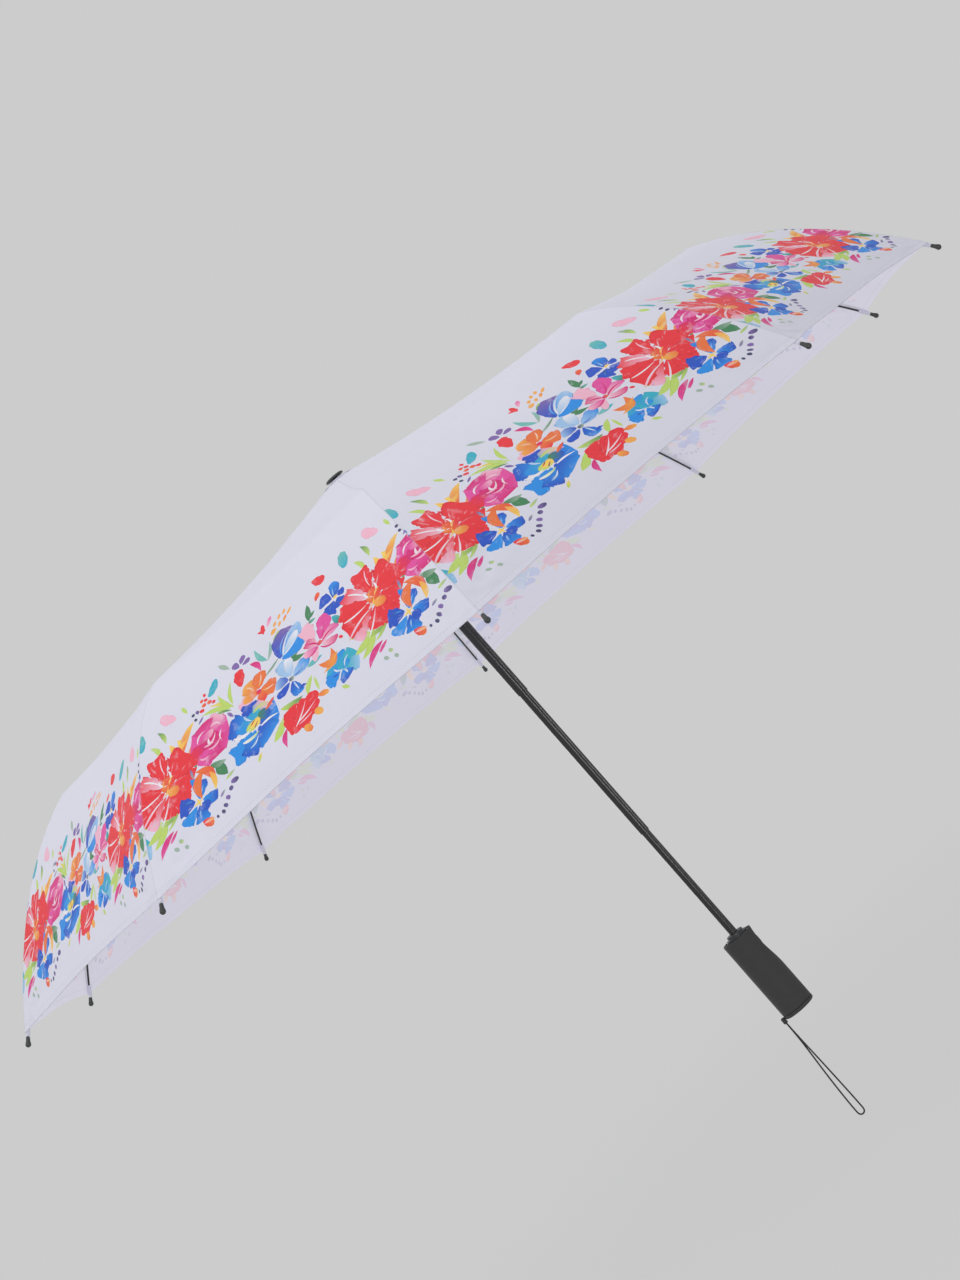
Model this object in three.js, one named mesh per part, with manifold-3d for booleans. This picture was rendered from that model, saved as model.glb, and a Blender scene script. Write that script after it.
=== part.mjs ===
// A threefold folding umbrella, opened: a handle with a push button and a wrist loop, a shaft of
// three telescoping tubes, and ten folding ribs that spread one fabric canopy.
// Millimetres. +Z runs along the shaft from the handle to the apex, and the origin is the middle
// of the hand grip. Rib 0 points along +X.
import * as THREE from "three";
import { mergeVertices } from "three/addons/utils/BufferGeometryUtils.js";
import Module from "manifold-3d";

const wasm = await Module();
wasm.setup();

// Overall sizes
const RIB_COUNT = 10;
const TIP_RADIUS = 500; // shaft axis to the middle of a rib's tip ball
const TOTAL_LENGTH = 598; // flat end of the handle to the top of the cap
const GRIP_LENGTH = 80;
const GRIP_RADIUS = 15.2;
const CANOPY_HEIGHT = 195; // apex of the fabric above the rib tips
const GAP = 0.3; // clearance between pieces that touch

// Levels along the shaft
const HANDLE_END_Z = -GRIP_LENGTH / 2;
const GRIP_TOP_Z = GRIP_LENGTH / 2;
const CAP_TOP_Z = HANDLE_END_Z + TOTAL_LENGTH;
const APEX_Z = CAP_TOP_Z - 2.5; // outside of the fabric on the axis
const CROWN_HINGE_Z = APEX_Z - 11;
const TIP_Z = APEX_Z - CANOPY_HEIGHT;
const TOP_TUBE_END_Z = APEX_Z - 242.5;
const MIDDLE_TUBE_END_Z = APEX_Z - 398.5;
const COLLAR_TOP_Z = GRIP_TOP_Z + 4;

// Shaft tubes, each sliding inside the one above it
const TUBE_SIDES = 24;
const TUBE_WALL = 0.4;
const TOP_TUBE_RADIUS = 5.1;
const MIDDLE_TUBE_RADIUS = 4.4;
const BOTTOM_TUBE_RADIUS = 3.75;
const TUBE_OVERLAP = 22; // length that stays inside the next tube when drawn out
const GROOVE_DEPTH = 0.5; // the pressed groove that stops the tubes from turning
const GROOVE_AZIMUTH = THREE.MathUtils.degToRad(30);

// Canopy meridian over a rib: a shallow curve out to the outer joint, then a steep bend
const CANOPY_THICKNESS = 0.8;
const CANOPY_HOLE_RADIUS = 3;
const INNER_SLOPE = 0.2266;
const INNER_CURVATURE = 1.561e-4;
const BEND_RADIUS = 352;
const HEM_RADIUS = 496.5;
const HEM_DROP = 186.6;
const OUTER_CONTROL = { radius: 426.3, drop: 90.4 };
const HEM_SCALLOP = 0.035; // share of the outer panel cut away between two tips

// Ribs. Pivots are given in the rib's own plane as distance from the axis and height.
const RIB_WIDTH = 2.6;
const RIB_DEPTH = 3;
const RIB_WALL = 0.55;
const CROWN_HINGE_RADIUS = 9.5;
const INNER_JOINT_RADIUS = 174;
const INNER_JOINT_DROP = 30.2; // rib's centre line below the crown hinge
const OUTER_JOINT_RADIUS = 352;
const OUTER_JOINT_DROP = 53.2;
const INNER_JOINT_RISE = 3.4; // pivot above the ribs' centre lines, so they fold fabric inwards
const OUTER_JOINT_FALL = 3; // pivot below the ribs' centre lines, so they fold fabric outwards
const EYE_RADIUS = 1.5;
const PIN_RADIUS = 0.6;
const TONGUE_HALF_WIDTH = 0.5;
const ROD_RADIUS = 0.9;

// Stretchers and runner
const STRETCHER_PIVOT = 90; // along the inner rib from the crown hinge
const STRETCHER_INNER_FACE = 1.6; // the stretcher lies beside its rib
const STRETCHER_THICKNESS = 1.4;
const RUNNER_HINGE_RADIUS = 9;
const RUNNER_HINGE_Z = CROWN_HINGE_Z - 72.1;
const RUNNER_BORE_RADIUS = TOP_TUBE_RADIUS + 0.4;
const RUNNER_END_Z = CROWN_HINGE_Z - 104;
const HUB_RADIUS = 11.2;
const SLOT_FLOOR_RADIUS = 7.2;

// Button, in the hollow on the +Y side of the grip
const BUTTON_Z = 27;
const BUTTON_RADIUS = 4.6;
const BUTTON_BACK_Y = 9;
const BUTTON_FACE_Y = 13.1;

// Wrist loop
const CORD_RADIUS = 0.7;
const LOOP_ROUTE = [
  [-0.85, -16.9, -42.8],
  [-0.85, -17.0, -50],
  [-0.8, -17.4, -62],
  [-0.65, -18.4, -77],
  [-0.5, -19.6, -93],
  [-0.3, -20.6, -109],
  [-0.1, -21.3, -125],
  [0, -21.5, -134],
  [0, -21.4, -138],
  [0, -20.52, -140.2],
  [0, -18.4, -141.1],
  [0, -16.28, -140.2],
  [0, -15.4, -138],
  [0, -15.3, -134],
  [0.1, -15.3, -125],
  [0.3, -15.5, -109],
  [0.5, -15.8, -93],
  [0.65, -16.2, -77],
  [0.8, -16.6, -62],
  [0.85, -16.8, -50],
  [0.85, -16.9, -42.8],
];

// Finishes
function finish(color, roughness, metalness) {
  return new THREE.MeshStandardMaterial({ color, roughness, metalness });
}
const blackEnamel = finish(0x0f1011, 0.3, 0.5);
const blackPlastic = finish(0x18191a, 0.45, 0);
const softCharcoal = finish(0x3a3c3c, 0.75, 0);
const springSteel = finish(0x8d9196, 0.35, 0.9);
const whiteFabric = finish(0xe2e2ee, 0.85, 0);
const blackCord = finish(0x141415, 0.85, 0);

// A closed geometry as a solid, with its faces turned outwards
function solid(geometry) {
  const bare = geometry.clone();
  bare.deleteAttribute("normal");
  bare.deleteAttribute("uv");
  const merged = mergeVertices(bare, 1e-4);
  const vertProperties = new Float32Array(merged.attributes.position.array);
  const triVerts = new Uint32Array(merged.index.array);
  const made = new wasm.Manifold(new wasm.Mesh({ numProp: 3, vertProperties, triVerts }));
  if (made.volume() > 0) return made;
  triVerts.reverse();
  return new wasm.Manifold(new wasm.Mesh({ numProp: 3, vertProperties, triVerts }));
}

function geometryOf(manifold) {
  const mesh = manifold.getMesh();
  const geometry = new THREE.BufferGeometry();
  geometry.setAttribute("position", new THREE.BufferAttribute(mesh.vertProperties, 3));
  geometry.setIndex(new THREE.BufferAttribute(mesh.triVerts, 1));
  geometry.computeVertexNormals();
  return geometry;
}

function piece(name, manifold, material, parent) {
  const mesh = new THREE.Mesh(geometryOf(manifold), material);
  mesh.name = name;
  parent.add(mesh);
  return mesh;
}

// Turned shape about Z from [radius, height] points
function turned(profile, sides = 28) {
  const points = profile.map(([radius, height]) => new THREE.Vector2(radius, height));
  return solid(new THREE.LatheGeometry(points, sides).rotateX(Math.PI / 2));
}

function disc(radius, low, high, sides = 28) {
  return turned([[0, low], [radius, low], [radius, high], [0, high]], sides);
}

function block(x, y, z) {
  const size = [x, y, z].map(([low, high]) => high - low);
  const middle = [x, y, z].map(([low, high]) => (high + low) / 2);
  return solid(new THREE.BoxGeometry(...size).translate(...middle));
}

// Solids in a rib's plane: X outwards from the axis, Z up, and Y across the rib.
function plate(outline, yLow, yHigh, holes = []) {
  const corners = outline.map(([x, z]) => new THREE.Vector2(x, z));
  if (THREE.ShapeUtils.isClockWise(corners)) corners.reverse();
  const shape = new THREE.Shape(corners);
  for (const [x, z, radius] of holes) {
    shape.holes.push(new THREE.Path().absarc(x, z, radius, 0, 2 * Math.PI, true));
  }
  const settings = { depth: yHigh - yLow, bevelEnabled: false, curveSegments: 4 };
  return solid(new THREE.ExtrudeGeometry(shape, settings).rotateX(Math.PI / 2).translate(0, yHigh, 0));
}

// Points of an arc, in degrees counted from +X towards +Z
function arc(x, z, radius, from, to, steps) {
  return Array.from({ length: steps + 1 }, (_, i) => {
    const angle = THREE.MathUtils.degToRad(from + ((to - from) * i) / steps);
    return [x + radius * Math.cos(angle), z + radius * Math.sin(angle)];
  });
}

// U-shaped channel along X, open downwards, about the centre line at the given height
function channel(start, end, height) {
  const half = RIB_DEPTH / 2;
  const outer = block([start, end], [-RIB_WIDTH / 2, RIB_WIDTH / 2], [height - half, height + half]);
  const inside = RIB_WIDTH / 2 - RIB_WALL;
  const hollow = block([start - 1, end + 1], [-inside, inside], [height - half - 1, height + half - RIB_WALL]);
  return outer.subtract(hollow);
}

// Fork at a rib's end: two cheeks and a pin that carry the next rib's tongue
function fork(pivotX, pivotZ, ribZ) {
  const side = Math.sign(pivotZ - ribZ);
  const foot = ribZ + side * (RIB_DEPTH / 2 - 0.4);
  const outline = [
    [pivotX - 7, foot],
    [pivotX - 0.6, foot],
    ...arc(pivotX, pivotZ, EYE_RADIUS, -45 * side, 135 * side, 5),
  ];
  const outer = RIB_WIDTH / 2;
  const inner = outer - RIB_WALL;
  const pin = solid(new THREE.CylinderGeometry(PIN_RADIUS, PIN_RADIUS, RIB_WIDTH - 0.2, 8))
    .translate(pivotX, 0, pivotZ);
  return plate(outline, inner, outer).add(plate(outline, -outer, -inner)).add(pin);
}

// Tongue at a rib's start, with the hole for the fork's pin at the rib frame's origin
function tongue(ribZ, reach) {
  const side = Math.sign(ribZ);
  const foot = ribZ - side * (RIB_DEPTH / 2 - 0.2);
  const deep = ribZ - side * 0.4;
  const outline = [
    [0.2, deep],
    [reach, deep],
    [reach, foot],
    [1.6, foot],
    ...arc(0, 0, EYE_RADIUS, 20 * side, -220 * side, 7),
  ];
  return plate(outline, -TONGUE_HALF_WIDTH, TONGUE_HALF_WIDTH, [[0, 0, PIN_RADIUS + 0.25]]);
}

// Pivots of one rib at rest
function point(radius, height) {
  return new THREE.Vector2(radius, height);
}
const crownPivot = point(CROWN_HINGE_RADIUS, CROWN_HINGE_Z);
const innerRibEnd = point(INNER_JOINT_RADIUS, CROWN_HINGE_Z - INNER_JOINT_DROP);
const midRibEnd = point(OUTER_JOINT_RADIUS, CROWN_HINGE_Z - OUTER_JOINT_DROP);
const innerAngle = innerRibEnd.clone().sub(crownPivot).angle();
const midAngle = midRibEnd.clone().sub(innerRibEnd).angle();
const innerPivot = innerRibEnd.clone()
  .add(point(-Math.sin(innerAngle), Math.cos(innerAngle)).multiplyScalar(INNER_JOINT_RISE));
const outerPivot = midRibEnd.clone()
  .sub(point(-Math.sin(midAngle), Math.cos(midAngle)).multiplyScalar(OUTER_JOINT_FALL));
const innerLength = innerRibEnd.distanceTo(crownPivot);
const midReach = outerPivot.clone().sub(innerPivot).rotateAround(point(0, 0), -midAngle);
const stretcherEnd = crownPivot.clone()
  .add(point(Math.cos(innerAngle), Math.sin(innerAngle)).multiplyScalar(STRETCHER_PIVOT));
const runnerPivot = point(RUNNER_HINGE_RADIUS, RUNNER_HINGE_Z);

// Height of the fabric's outside over a rib, as points from the apex to the hem.
// Each point also says how far it is along the outer panel, from 0 to 1.
function meridian() {
  const inner = [CANOPY_HOLE_RADIUS, 30, 75, 125, INNER_JOINT_RADIUS, 230, 290, BEND_RADIUS];
  const points = inner.map((radius) => {
    const drop = INNER_SLOPE * radius - INNER_CURVATURE * radius ** 2;
    return { radius, height: APEX_Z - drop, along: 0 };
  });
  const bend = points[points.length - 1];
  const curve = new THREE.QuadraticBezierCurve(
    point(bend.radius, bend.height),
    point(OUTER_CONTROL.radius, APEX_Z - OUTER_CONTROL.drop),
    point(HEM_RADIUS, APEX_Z - HEM_DROP),
  );
  const steps = 6;
  for (let i = 1; i <= steps; i += 1) {
    const along = i / steps;
    const at = curve.getPoint(along);
    const trimmed = curve.getPoint(along * (1 - HEM_SCALLOP));
    points.push({ radius: at.x, height: at.y, along, trimmed });
  }
  return points;
}

// Canopy: ten gores, straight from rib to rib, as one thin closed shell
function canopy() {
  const rows = meridian();
  const around = RIB_COUNT * 2;
  const vertices = [];
  const inset = Math.cos(Math.PI / RIB_COUNT);
  for (const depth of [0, CANOPY_THICKNESS]) {
    rows.forEach((row, i) => {
      const before = rows[Math.max(i - 1, 0)];
      const after = rows[Math.min(i + 1, rows.length - 1)];
      const slope = Math.atan2(before.height - after.height, after.radius - before.radius);
      for (let k = 0; k < around; k += 1) {
        const middle = k % 2 === 1;
        const at = middle && row.trimmed ? { radius: row.trimmed.x, height: row.trimmed.y } : row;
        const radius = (at.radius - depth * Math.sin(slope)) * (middle ? inset : 1);
        const angle = (k * Math.PI) / RIB_COUNT;
        const height = at.height - depth * Math.cos(slope);
        vertices.push(radius * Math.cos(angle), radius * Math.sin(angle), height);
      }
    });
  }
  const index = [];
  const last = rows.length - 1;
  const id = (layer, row, k) => (layer * rows.length + row) * around + (k % around);
  const quad = (a, b, c, d) => index.push(a, b, c, a, c, d);
  for (let k = 0; k < around; k += 1) {
    for (let row = 0; row < last; row += 1) {
      quad(id(0, row, k), id(0, row + 1, k), id(0, row + 1, k + 1), id(0, row, k + 1));
      quad(id(1, row, k), id(1, row, k + 1), id(1, row + 1, k + 1), id(1, row + 1, k));
    }
    quad(id(0, 0, k), id(0, 0, k + 1), id(1, 0, k + 1), id(1, 0, k));
    quad(id(0, last, k), id(1, last, k), id(1, last, k + 1), id(0, last, k + 1));
  }
  const geometry = new THREE.BufferGeometry();
  geometry.setAttribute("position", new THREE.Float32BufferAttribute(vertices, 3));
  geometry.setIndex(index);
  return solid(geometry);
}

// Inner rib in its own frame: the crown hinge at the origin and the rib along X
function innerRib() {
  const eye = solid(new THREE.CylinderGeometry(EYE_RADIUS, EYE_RADIUS, RIB_WIDTH, 10));
  return eye
    .add(channel(0.9, innerLength - 0.6, 0))
    .add(fork(innerLength, INNER_JOINT_RISE, 0));
}

// Middle rib: the inner joint at the origin and the rib along X, below the joint
function midRib() {
  const ribZ = -INNER_JOINT_RISE;
  return tongue(ribZ, 5)
    .add(channel(1.3, midReach.x - 0.7, ribZ))
    .add(fork(midReach.x, midReach.y, ribZ));
}

// Outer rib in the plane of its rib: a tongue, a socket, the sprung rod and the tip
function outerRib() {
  const start = point(outerPivot.x + 1.5, midRibEnd.y - 0.2);
  const tip = point(TIP_RADIUS, TIP_Z);
  const control = point(OUTER_CONTROL.radius - 2.4, APEX_Z - OUTER_CONTROL.drop - 3.2);
  const flat = new THREE.QuadraticBezierCurve(start, control, tip);
  const along = (share) => {
    const at = flat.getPoint(share);
    return new THREE.Vector3(at.x, 0, at.y);
  };
  const rodBetween = (from, to, radius, steps, sides) => {
    const points = Array.from({ length: steps + 1 }, (_, i) => along(from + ((to - from) * i) / steps));
    const section = new THREE.Shape().absarc(0, 0, radius, 0, 2 * Math.PI, false);
    const extrudePath = new THREE.CatmullRomCurve3(points);
    const settings = { extrudePath, steps, curveSegments: sides / 2 };
    return solid(new THREE.ExtrudeGeometry(section, settings));
  };
  const ball = solid(new THREE.SphereGeometry(2.3, 8, 5)).translate(tip.x, 0, tip.y);
  const joint = tongue(start.y - outerPivot.y, 6).translate(outerPivot.x, 0, outerPivot.y);
  return joint
    .add(rodBetween(0, 0.055, 1.5, 1, 8))
    .add(rodBetween(0.01, 0.99, ROD_RADIUS, 8, 6))
    .add(rodBetween(0.975, 1, 1.6, 1, 8))
    .add(ball);
}

// Stretcher: a flat bar beside its rib, from the runner to the inner rib
function stretcher() {
  const length = stretcherEnd.distanceTo(runnerPivot);
  const outline = [
    ...arc(0, 0, EYE_RADIUS, 90, 270, 5),
    ...arc(length, 0, EYE_RADIUS, -90, 90, 5),
  ];
  return plate(outline, STRETCHER_INNER_FACE, STRETCHER_INNER_FACE + STRETCHER_THICKNESS);
}

// Hub slots: one for each rib, cut from the slot floor to past the rim
function slots(low, high, yLow, yHigh) {
  let cut = null;
  for (let i = 0; i < RIB_COUNT; i += 1) {
    const slot = block([SLOT_FLOOR_RADIUS, HUB_RADIUS + 2], [yLow, yHigh], [low, high])
      .rotate(0, 0, (i * 360) / RIB_COUNT);
    cut = cut ? cut.add(slot) : slot;
  }
  return cut;
}

function crown() {
  const low = CROWN_HINGE_Z - 5;
  const body = turned([
    [0, low],
    [HUB_RADIUS, low],
    [HUB_RADIUS, CROWN_HINGE_Z + 5.8],
    [HUB_RADIUS - 2, CROWN_HINGE_Z + 7.4],
    [0, CROWN_HINGE_Z + 7.4],
  ]);
  const half = RIB_WIDTH / 2 + GAP;
  return body
    .subtract(disc(TOP_TUBE_RADIUS + GAP, low - 1, CROWN_HINGE_Z + 3.5))
    .subtract(disc(2.4, CROWN_HINGE_Z + 5, CROWN_HINGE_Z + 8))
    .subtract(slots(low - 1, CROWN_HINGE_Z + 2.1, -half, half));
}

function runner() {
  const top = RUNNER_HINGE_Z + 4;
  const headEnd = RUNNER_HINGE_Z - 5;
  const body = turned([
    [RUNNER_BORE_RADIUS, top],
    [HUB_RADIUS, top],
    [HUB_RADIUS, headEnd],
    [7.1, headEnd - 3],
    [7.1, RUNNER_END_Z + 4],
    [8.4, RUNNER_END_Z + 2.5],
    [8.4, RUNNER_END_Z],
    [RUNNER_BORE_RADIUS, RUNNER_END_Z],
    [RUNNER_BORE_RADIUS, top],
  ]);
  const near = STRETCHER_INNER_FACE - GAP;
  const far = STRETCHER_INNER_FACE + STRETCHER_THICKNESS + GAP;
  return body.subtract(slots(headEnd - 4, top + 1, near, far));
}

function topCap() {
  const low = APEX_Z + GAP;
  return turned([
    [0, CROWN_HINGE_Z + 5.4],
    [2, CROWN_HINGE_Z + 5.4],
    [2, low],
    [9, low],
    [9, CAP_TOP_Z - 1],
    [7.6, CAP_TOP_Z],
    [0, CAP_TOP_Z],
  ], 28);
}

// Shaft tube with its pressed groove. Each inner tube's groove is wider, to clear the next wall.
function tube(radius, low, high, grooveHalfAngle) {
  const outline = (size) => {
    const half = THREE.MathUtils.degToRad(grooveHalfAngle);
    const points = [];
    for (let i = 0; i <= TUBE_SIDES; i += 1) {
      const angle = GROOVE_AZIMUTH + half + ((2 * Math.PI - 2 * half) * i) / TUBE_SIDES;
      points.push(new THREE.Vector2(size * Math.cos(angle), size * Math.sin(angle)));
    }
    const floor = size - GROOVE_DEPTH;
    points.push(new THREE.Vector2(floor * Math.cos(GROOVE_AZIMUTH), floor * Math.sin(GROOVE_AZIMUTH)));
    return points;
  };
  const shape = new THREE.Shape(outline(radius));
  shape.holes.push(new THREE.Path(outline(radius - TUBE_WALL)));
  const geometry = new THREE.ExtrudeGeometry(shape, { depth: high - low, bevelEnabled: false });
  return solid(geometry.translate(0, 0, low));
}

// Coil of round wire about +Z, from low to high
function coil(radius, wire, low, high, turns, stepsPerTurn) {
  class Helix extends THREE.Curve {
    getPoint(t, target = new THREE.Vector3()) {
      const angle = t * turns * 2 * Math.PI;
      return target.set(radius * Math.cos(angle), radius * Math.sin(angle), low + (high - low) * t);
    }
  }
  const section = new THREE.Shape().absarc(0, 0, wire / 2, 0, 2 * Math.PI, false);
  const settings = { extrudePath: new Helix(), steps: turns * stepsPerTurn, curveSegments: 3 };
  return solid(new THREE.ExtrudeGeometry(section, settings));
}

// Scoop for the thumb below the grip's lip, as a large cylinder across the grip
const SCOOP_RADIUS = 62;
const SCOOP_DEPTH = 2.6;
function thumbScoop() {
  return solid(new THREE.CylinderGeometry(SCOOP_RADIUS, SCOOP_RADIUS, 60, 60))
    .rotate(0, 0, 90)
    .translate(0, GRIP_RADIUS - SCOOP_DEPTH + SCOOP_RADIUS, BUTTON_Z);
}

// Round hole along Y, from the grip's core out through its wall
function buttonHole(radius, from) {
  return solid(new THREE.CylinderGeometry(radius, radius, 30, 24))
    .translate(0, from + 15, BUTTON_Z);
}

const GRIP_INNER_RADIUS = 12.2;
const CAP_PLATE = 3.4;
function grip() {
  const low = HANDLE_END_Z + CAP_PLATE + GAP;
  return turned([
    [GRIP_INNER_RADIUS, low],
    [GRIP_RADIUS, low],
    [GRIP_RADIUS, GRIP_TOP_Z - 0.8],
    [GRIP_RADIUS - 0.8, GRIP_TOP_Z],
    [GRIP_INNER_RADIUS, GRIP_TOP_Z],
    [GRIP_INNER_RADIUS, low],
  ], 36)
    .subtract(thumbScoop())
    .subtract(buttonHole(BUTTON_RADIUS + GAP, 5));
}

// Core of the handle: holds the bottom tube and guides the button
const SOCKET_FLOOR_Z = -22;
function core() {
  return disc(GRIP_INNER_RADIUS - GAP, HANDLE_END_Z + 9, GRIP_TOP_Z - 0.6)
    .subtract(disc(BOTTOM_TUBE_RADIUS + GAP, SOCKET_FLOOR_Z, GRIP_TOP_Z + 1))
    .subtract(thumbScoop())
    .subtract(buttonHole(BUTTON_RADIUS + GAP, 5.4));
}

function collar() {
  return turned([
    [BOTTOM_TUBE_RADIUS + GAP, GRIP_TOP_Z - 0.3],
    [10.4, GRIP_TOP_Z - 0.3],
    [10.4, GRIP_TOP_Z + 1.2],
    [8.2, GRIP_TOP_Z + 1.6],
    [8.2, COLLAR_TOP_Z - 0.6],
    [7.6, COLLAR_TOP_Z],
    [BOTTOM_TUBE_RADIUS + GAP, COLLAR_TOP_Z],
    [BOTTOM_TUBE_RADIUS + GAP, GRIP_TOP_Z - 0.3],
  ]);
}

// Flat end of the handle, with a plug that goes up into the grip and the lug of the wrist loop
const LUG_Y = -16.9;
const LUG_RADIUS = 2;
function endCap() {
  const plateTop = HANDLE_END_Z + CAP_PLATE;
  const body = turned([
    [0, HANDLE_END_Z],
    [GRIP_RADIUS - 1, HANDLE_END_Z],
    [GRIP_RADIUS, HANDLE_END_Z + 1],
    [GRIP_RADIUS, plateTop],
    [GRIP_INNER_RADIUS - GAP, plateTop],
    [GRIP_INNER_RADIUS - GAP, plateTop + 4],
    [0, plateTop + 4],
  ], 36);
  const lug = turned([
    [0, HANDLE_END_Z - 2.4],
    [LUG_RADIUS - 0.6, HANDLE_END_Z - 2.4],
    [LUG_RADIUS, HANDLE_END_Z - 1.8],
    [LUG_RADIUS, plateTop - 0.8],
    [LUG_RADIUS - 0.8, plateTop],
    [0, plateTop],
  ], 14).translate(0, LUG_Y, 0);
  return body.add(lug);
}

function pushButton() {
  const domed = new THREE.LatheGeometry([
    new THREE.Vector2(0, BUTTON_BACK_Y),
    new THREE.Vector2(BUTTON_RADIUS, BUTTON_BACK_Y),
    new THREE.Vector2(BUTTON_RADIUS, BUTTON_FACE_Y - 0.6),
    new THREE.Vector2(BUTTON_RADIUS - 0.7, BUTTON_FACE_Y),
    new THREE.Vector2(0, BUTTON_FACE_Y + 0.25),
  ], 24);
  return solid(domed.translate(0, 0, BUTTON_Z));
}

function buttonSpring() {
  return coil(2.6, 0.6, 6.1, BUTTON_BACK_Y - 0.6, 3, 8)
    .rotate(-90, 0, 0)
    .translate(0, 0, BUTTON_Z);
}

function wristLoop() {
  const extrudePath = new THREE.CatmullRomCurve3(LOOP_ROUTE.map((at) => new THREE.Vector3(...at)));
  const section = new THREE.Shape().absarc(0, 0, CORD_RADIUS, 0, 2 * Math.PI, false);
  return solid(new THREE.ExtrudeGeometry(section, { extrudePath, steps: 60, curveSegments: 4 }));
}

const umbrella = new THREE.Group();

// Handle and shaft
piece("grip", grip(), softCharcoal, umbrella);
piece("handle_core", core(), blackPlastic, umbrella);
piece("handle_collar", collar(), blackPlastic, umbrella);
piece("end_cap", endCap(), softCharcoal, umbrella);
piece("push_button", pushButton(), blackPlastic, umbrella);
piece("button_spring", buttonSpring(), springSteel, umbrella);
piece("wrist_loop", wristLoop(), blackCord, umbrella);

const bottomTubeTop = MIDDLE_TUBE_END_Z + TUBE_OVERLAP;
const bottomTube = tube(BOTTOM_TUBE_RADIUS, SOCKET_FLOOR_Z + GAP, bottomTubeTop, 19);
piece("bottom_tube", bottomTube, blackEnamel, umbrella);
const middleTube = tube(MIDDLE_TUBE_RADIUS, MIDDLE_TUBE_END_Z, TOP_TUBE_END_Z + TUBE_OVERLAP, 14);
piece("middle_tube", middleTube, blackEnamel, umbrella);
const topTube = tube(TOP_TUBE_RADIUS, TOP_TUBE_END_Z, CROWN_HINGE_Z + 3.2, 10);
piece("top_tube", topTube, blackEnamel, umbrella);

// Head
piece("crown", crown(), blackPlastic, umbrella);
piece("top_cap", topCap(), blackPlastic, umbrella);
piece("runner", runner(), blackPlastic, umbrella);
const springTop = CROWN_HINGE_Z - 6;
const closingSpring = coil(6.2, 1, RUNNER_HINGE_Z + 5, springTop, 6, 9);
piece("closing_spring", closingSpring, springSteel, umbrella);
piece("canopy", canopy(), whiteFabric, umbrella);

// Ribs. Each group turns its rib's plane to the rib's own direction.
for (let i = 0; i < RIB_COUNT; i += 1) {
  const plane = new THREE.Group();
  plane.rotation.z = (i * 2 * Math.PI) / RIB_COUNT;
  umbrella.add(plane);
  // three.js turns +X down towards -Z for a positive turn about +Y
  const inner = piece(`inner_rib_${i}`, innerRib(), blackEnamel, plane);
  inner.position.set(crownPivot.x, 0, crownPivot.y);
  inner.rotation.y = -innerAngle;
  const mid = piece(`mid_rib_${i}`, midRib(), blackEnamel, plane);
  mid.position.set(innerPivot.x, 0, innerPivot.y);
  mid.rotation.y = -midAngle;
  piece(`outer_rib_${i}`, outerRib(), blackEnamel, plane);
  const bar = piece(`stretcher_${i}`, stretcher(), blackEnamel, plane);
  bar.position.set(runnerPivot.x, 0, runnerPivot.y);
  bar.rotation.y = -stretcherEnd.clone().sub(runnerPivot).angle();
}

export default umbrella;
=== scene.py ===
"""Finished pieces for the folding umbrella, built in metres on the frame of its packed model."""

import math

import bpy
import numpy as np
from mathutils import Matrix, Vector
from mathutils.geometry import delaunay_2d_cdt


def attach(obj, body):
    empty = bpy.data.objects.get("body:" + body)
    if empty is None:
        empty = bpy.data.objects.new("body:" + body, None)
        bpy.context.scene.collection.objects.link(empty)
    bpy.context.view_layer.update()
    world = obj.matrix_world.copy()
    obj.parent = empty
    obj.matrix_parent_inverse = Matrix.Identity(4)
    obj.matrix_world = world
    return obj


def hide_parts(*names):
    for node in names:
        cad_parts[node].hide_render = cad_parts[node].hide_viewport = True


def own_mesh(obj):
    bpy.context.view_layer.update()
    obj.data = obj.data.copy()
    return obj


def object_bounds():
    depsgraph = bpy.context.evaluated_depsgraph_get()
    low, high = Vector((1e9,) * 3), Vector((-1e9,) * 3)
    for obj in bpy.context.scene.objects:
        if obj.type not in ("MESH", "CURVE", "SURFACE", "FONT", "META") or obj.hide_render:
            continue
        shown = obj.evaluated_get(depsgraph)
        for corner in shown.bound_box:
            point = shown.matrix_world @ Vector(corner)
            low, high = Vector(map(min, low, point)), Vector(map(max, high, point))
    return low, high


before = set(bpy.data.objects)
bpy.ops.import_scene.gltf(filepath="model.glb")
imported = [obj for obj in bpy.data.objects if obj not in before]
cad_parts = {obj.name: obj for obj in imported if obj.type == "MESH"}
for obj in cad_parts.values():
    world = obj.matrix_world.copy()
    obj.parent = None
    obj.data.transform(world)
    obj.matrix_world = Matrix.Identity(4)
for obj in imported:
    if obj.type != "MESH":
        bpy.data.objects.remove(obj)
CAD_LOW, CAD_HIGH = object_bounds()

bl_info = {
    "name": "Folding umbrella",
    "version": (1, 0, 0),
    "blender": (4, 5, 0),
    "location": "3D View > Sidebar > Umbrella",
    "description": "Finished pieces of a ten-rib folding umbrella with a flower border",
    "category": "Object",
}

MM = 0.001
RIBS = 10
STEP = 2 * math.pi / RIBS

# Levels on the shaft and sizes shared with the frame, in millimetres
APEX_Z = 555.5
CROWN_HINGE_Z = 544.5
TIP_Z = 360.5
TIP_RADIUS = 500.0
HANDLE_END_Z = -40.0
GRIP_TOP_Z = 40.0
GRIP_RADIUS = 15.2
BUTTON_Z = 27.0
GROOVE_AZIMUTH = math.radians(30)

# Meridian of the cloth over a rib
INNER_SLOPE = 0.2266
INNER_CURVATURE = 1.561e-4
INNER_JOINT_RADIUS = 174.0
BEND_RADIUS = 352.0
BEND_DROP = INNER_SLOPE * BEND_RADIUS - INNER_CURVATURE * BEND_RADIUS**2
OUTER_CONTROL = (426.3, 90.4)
HEM = (496.5, 186.6)
HEM_SCALLOP = 0.033


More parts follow.
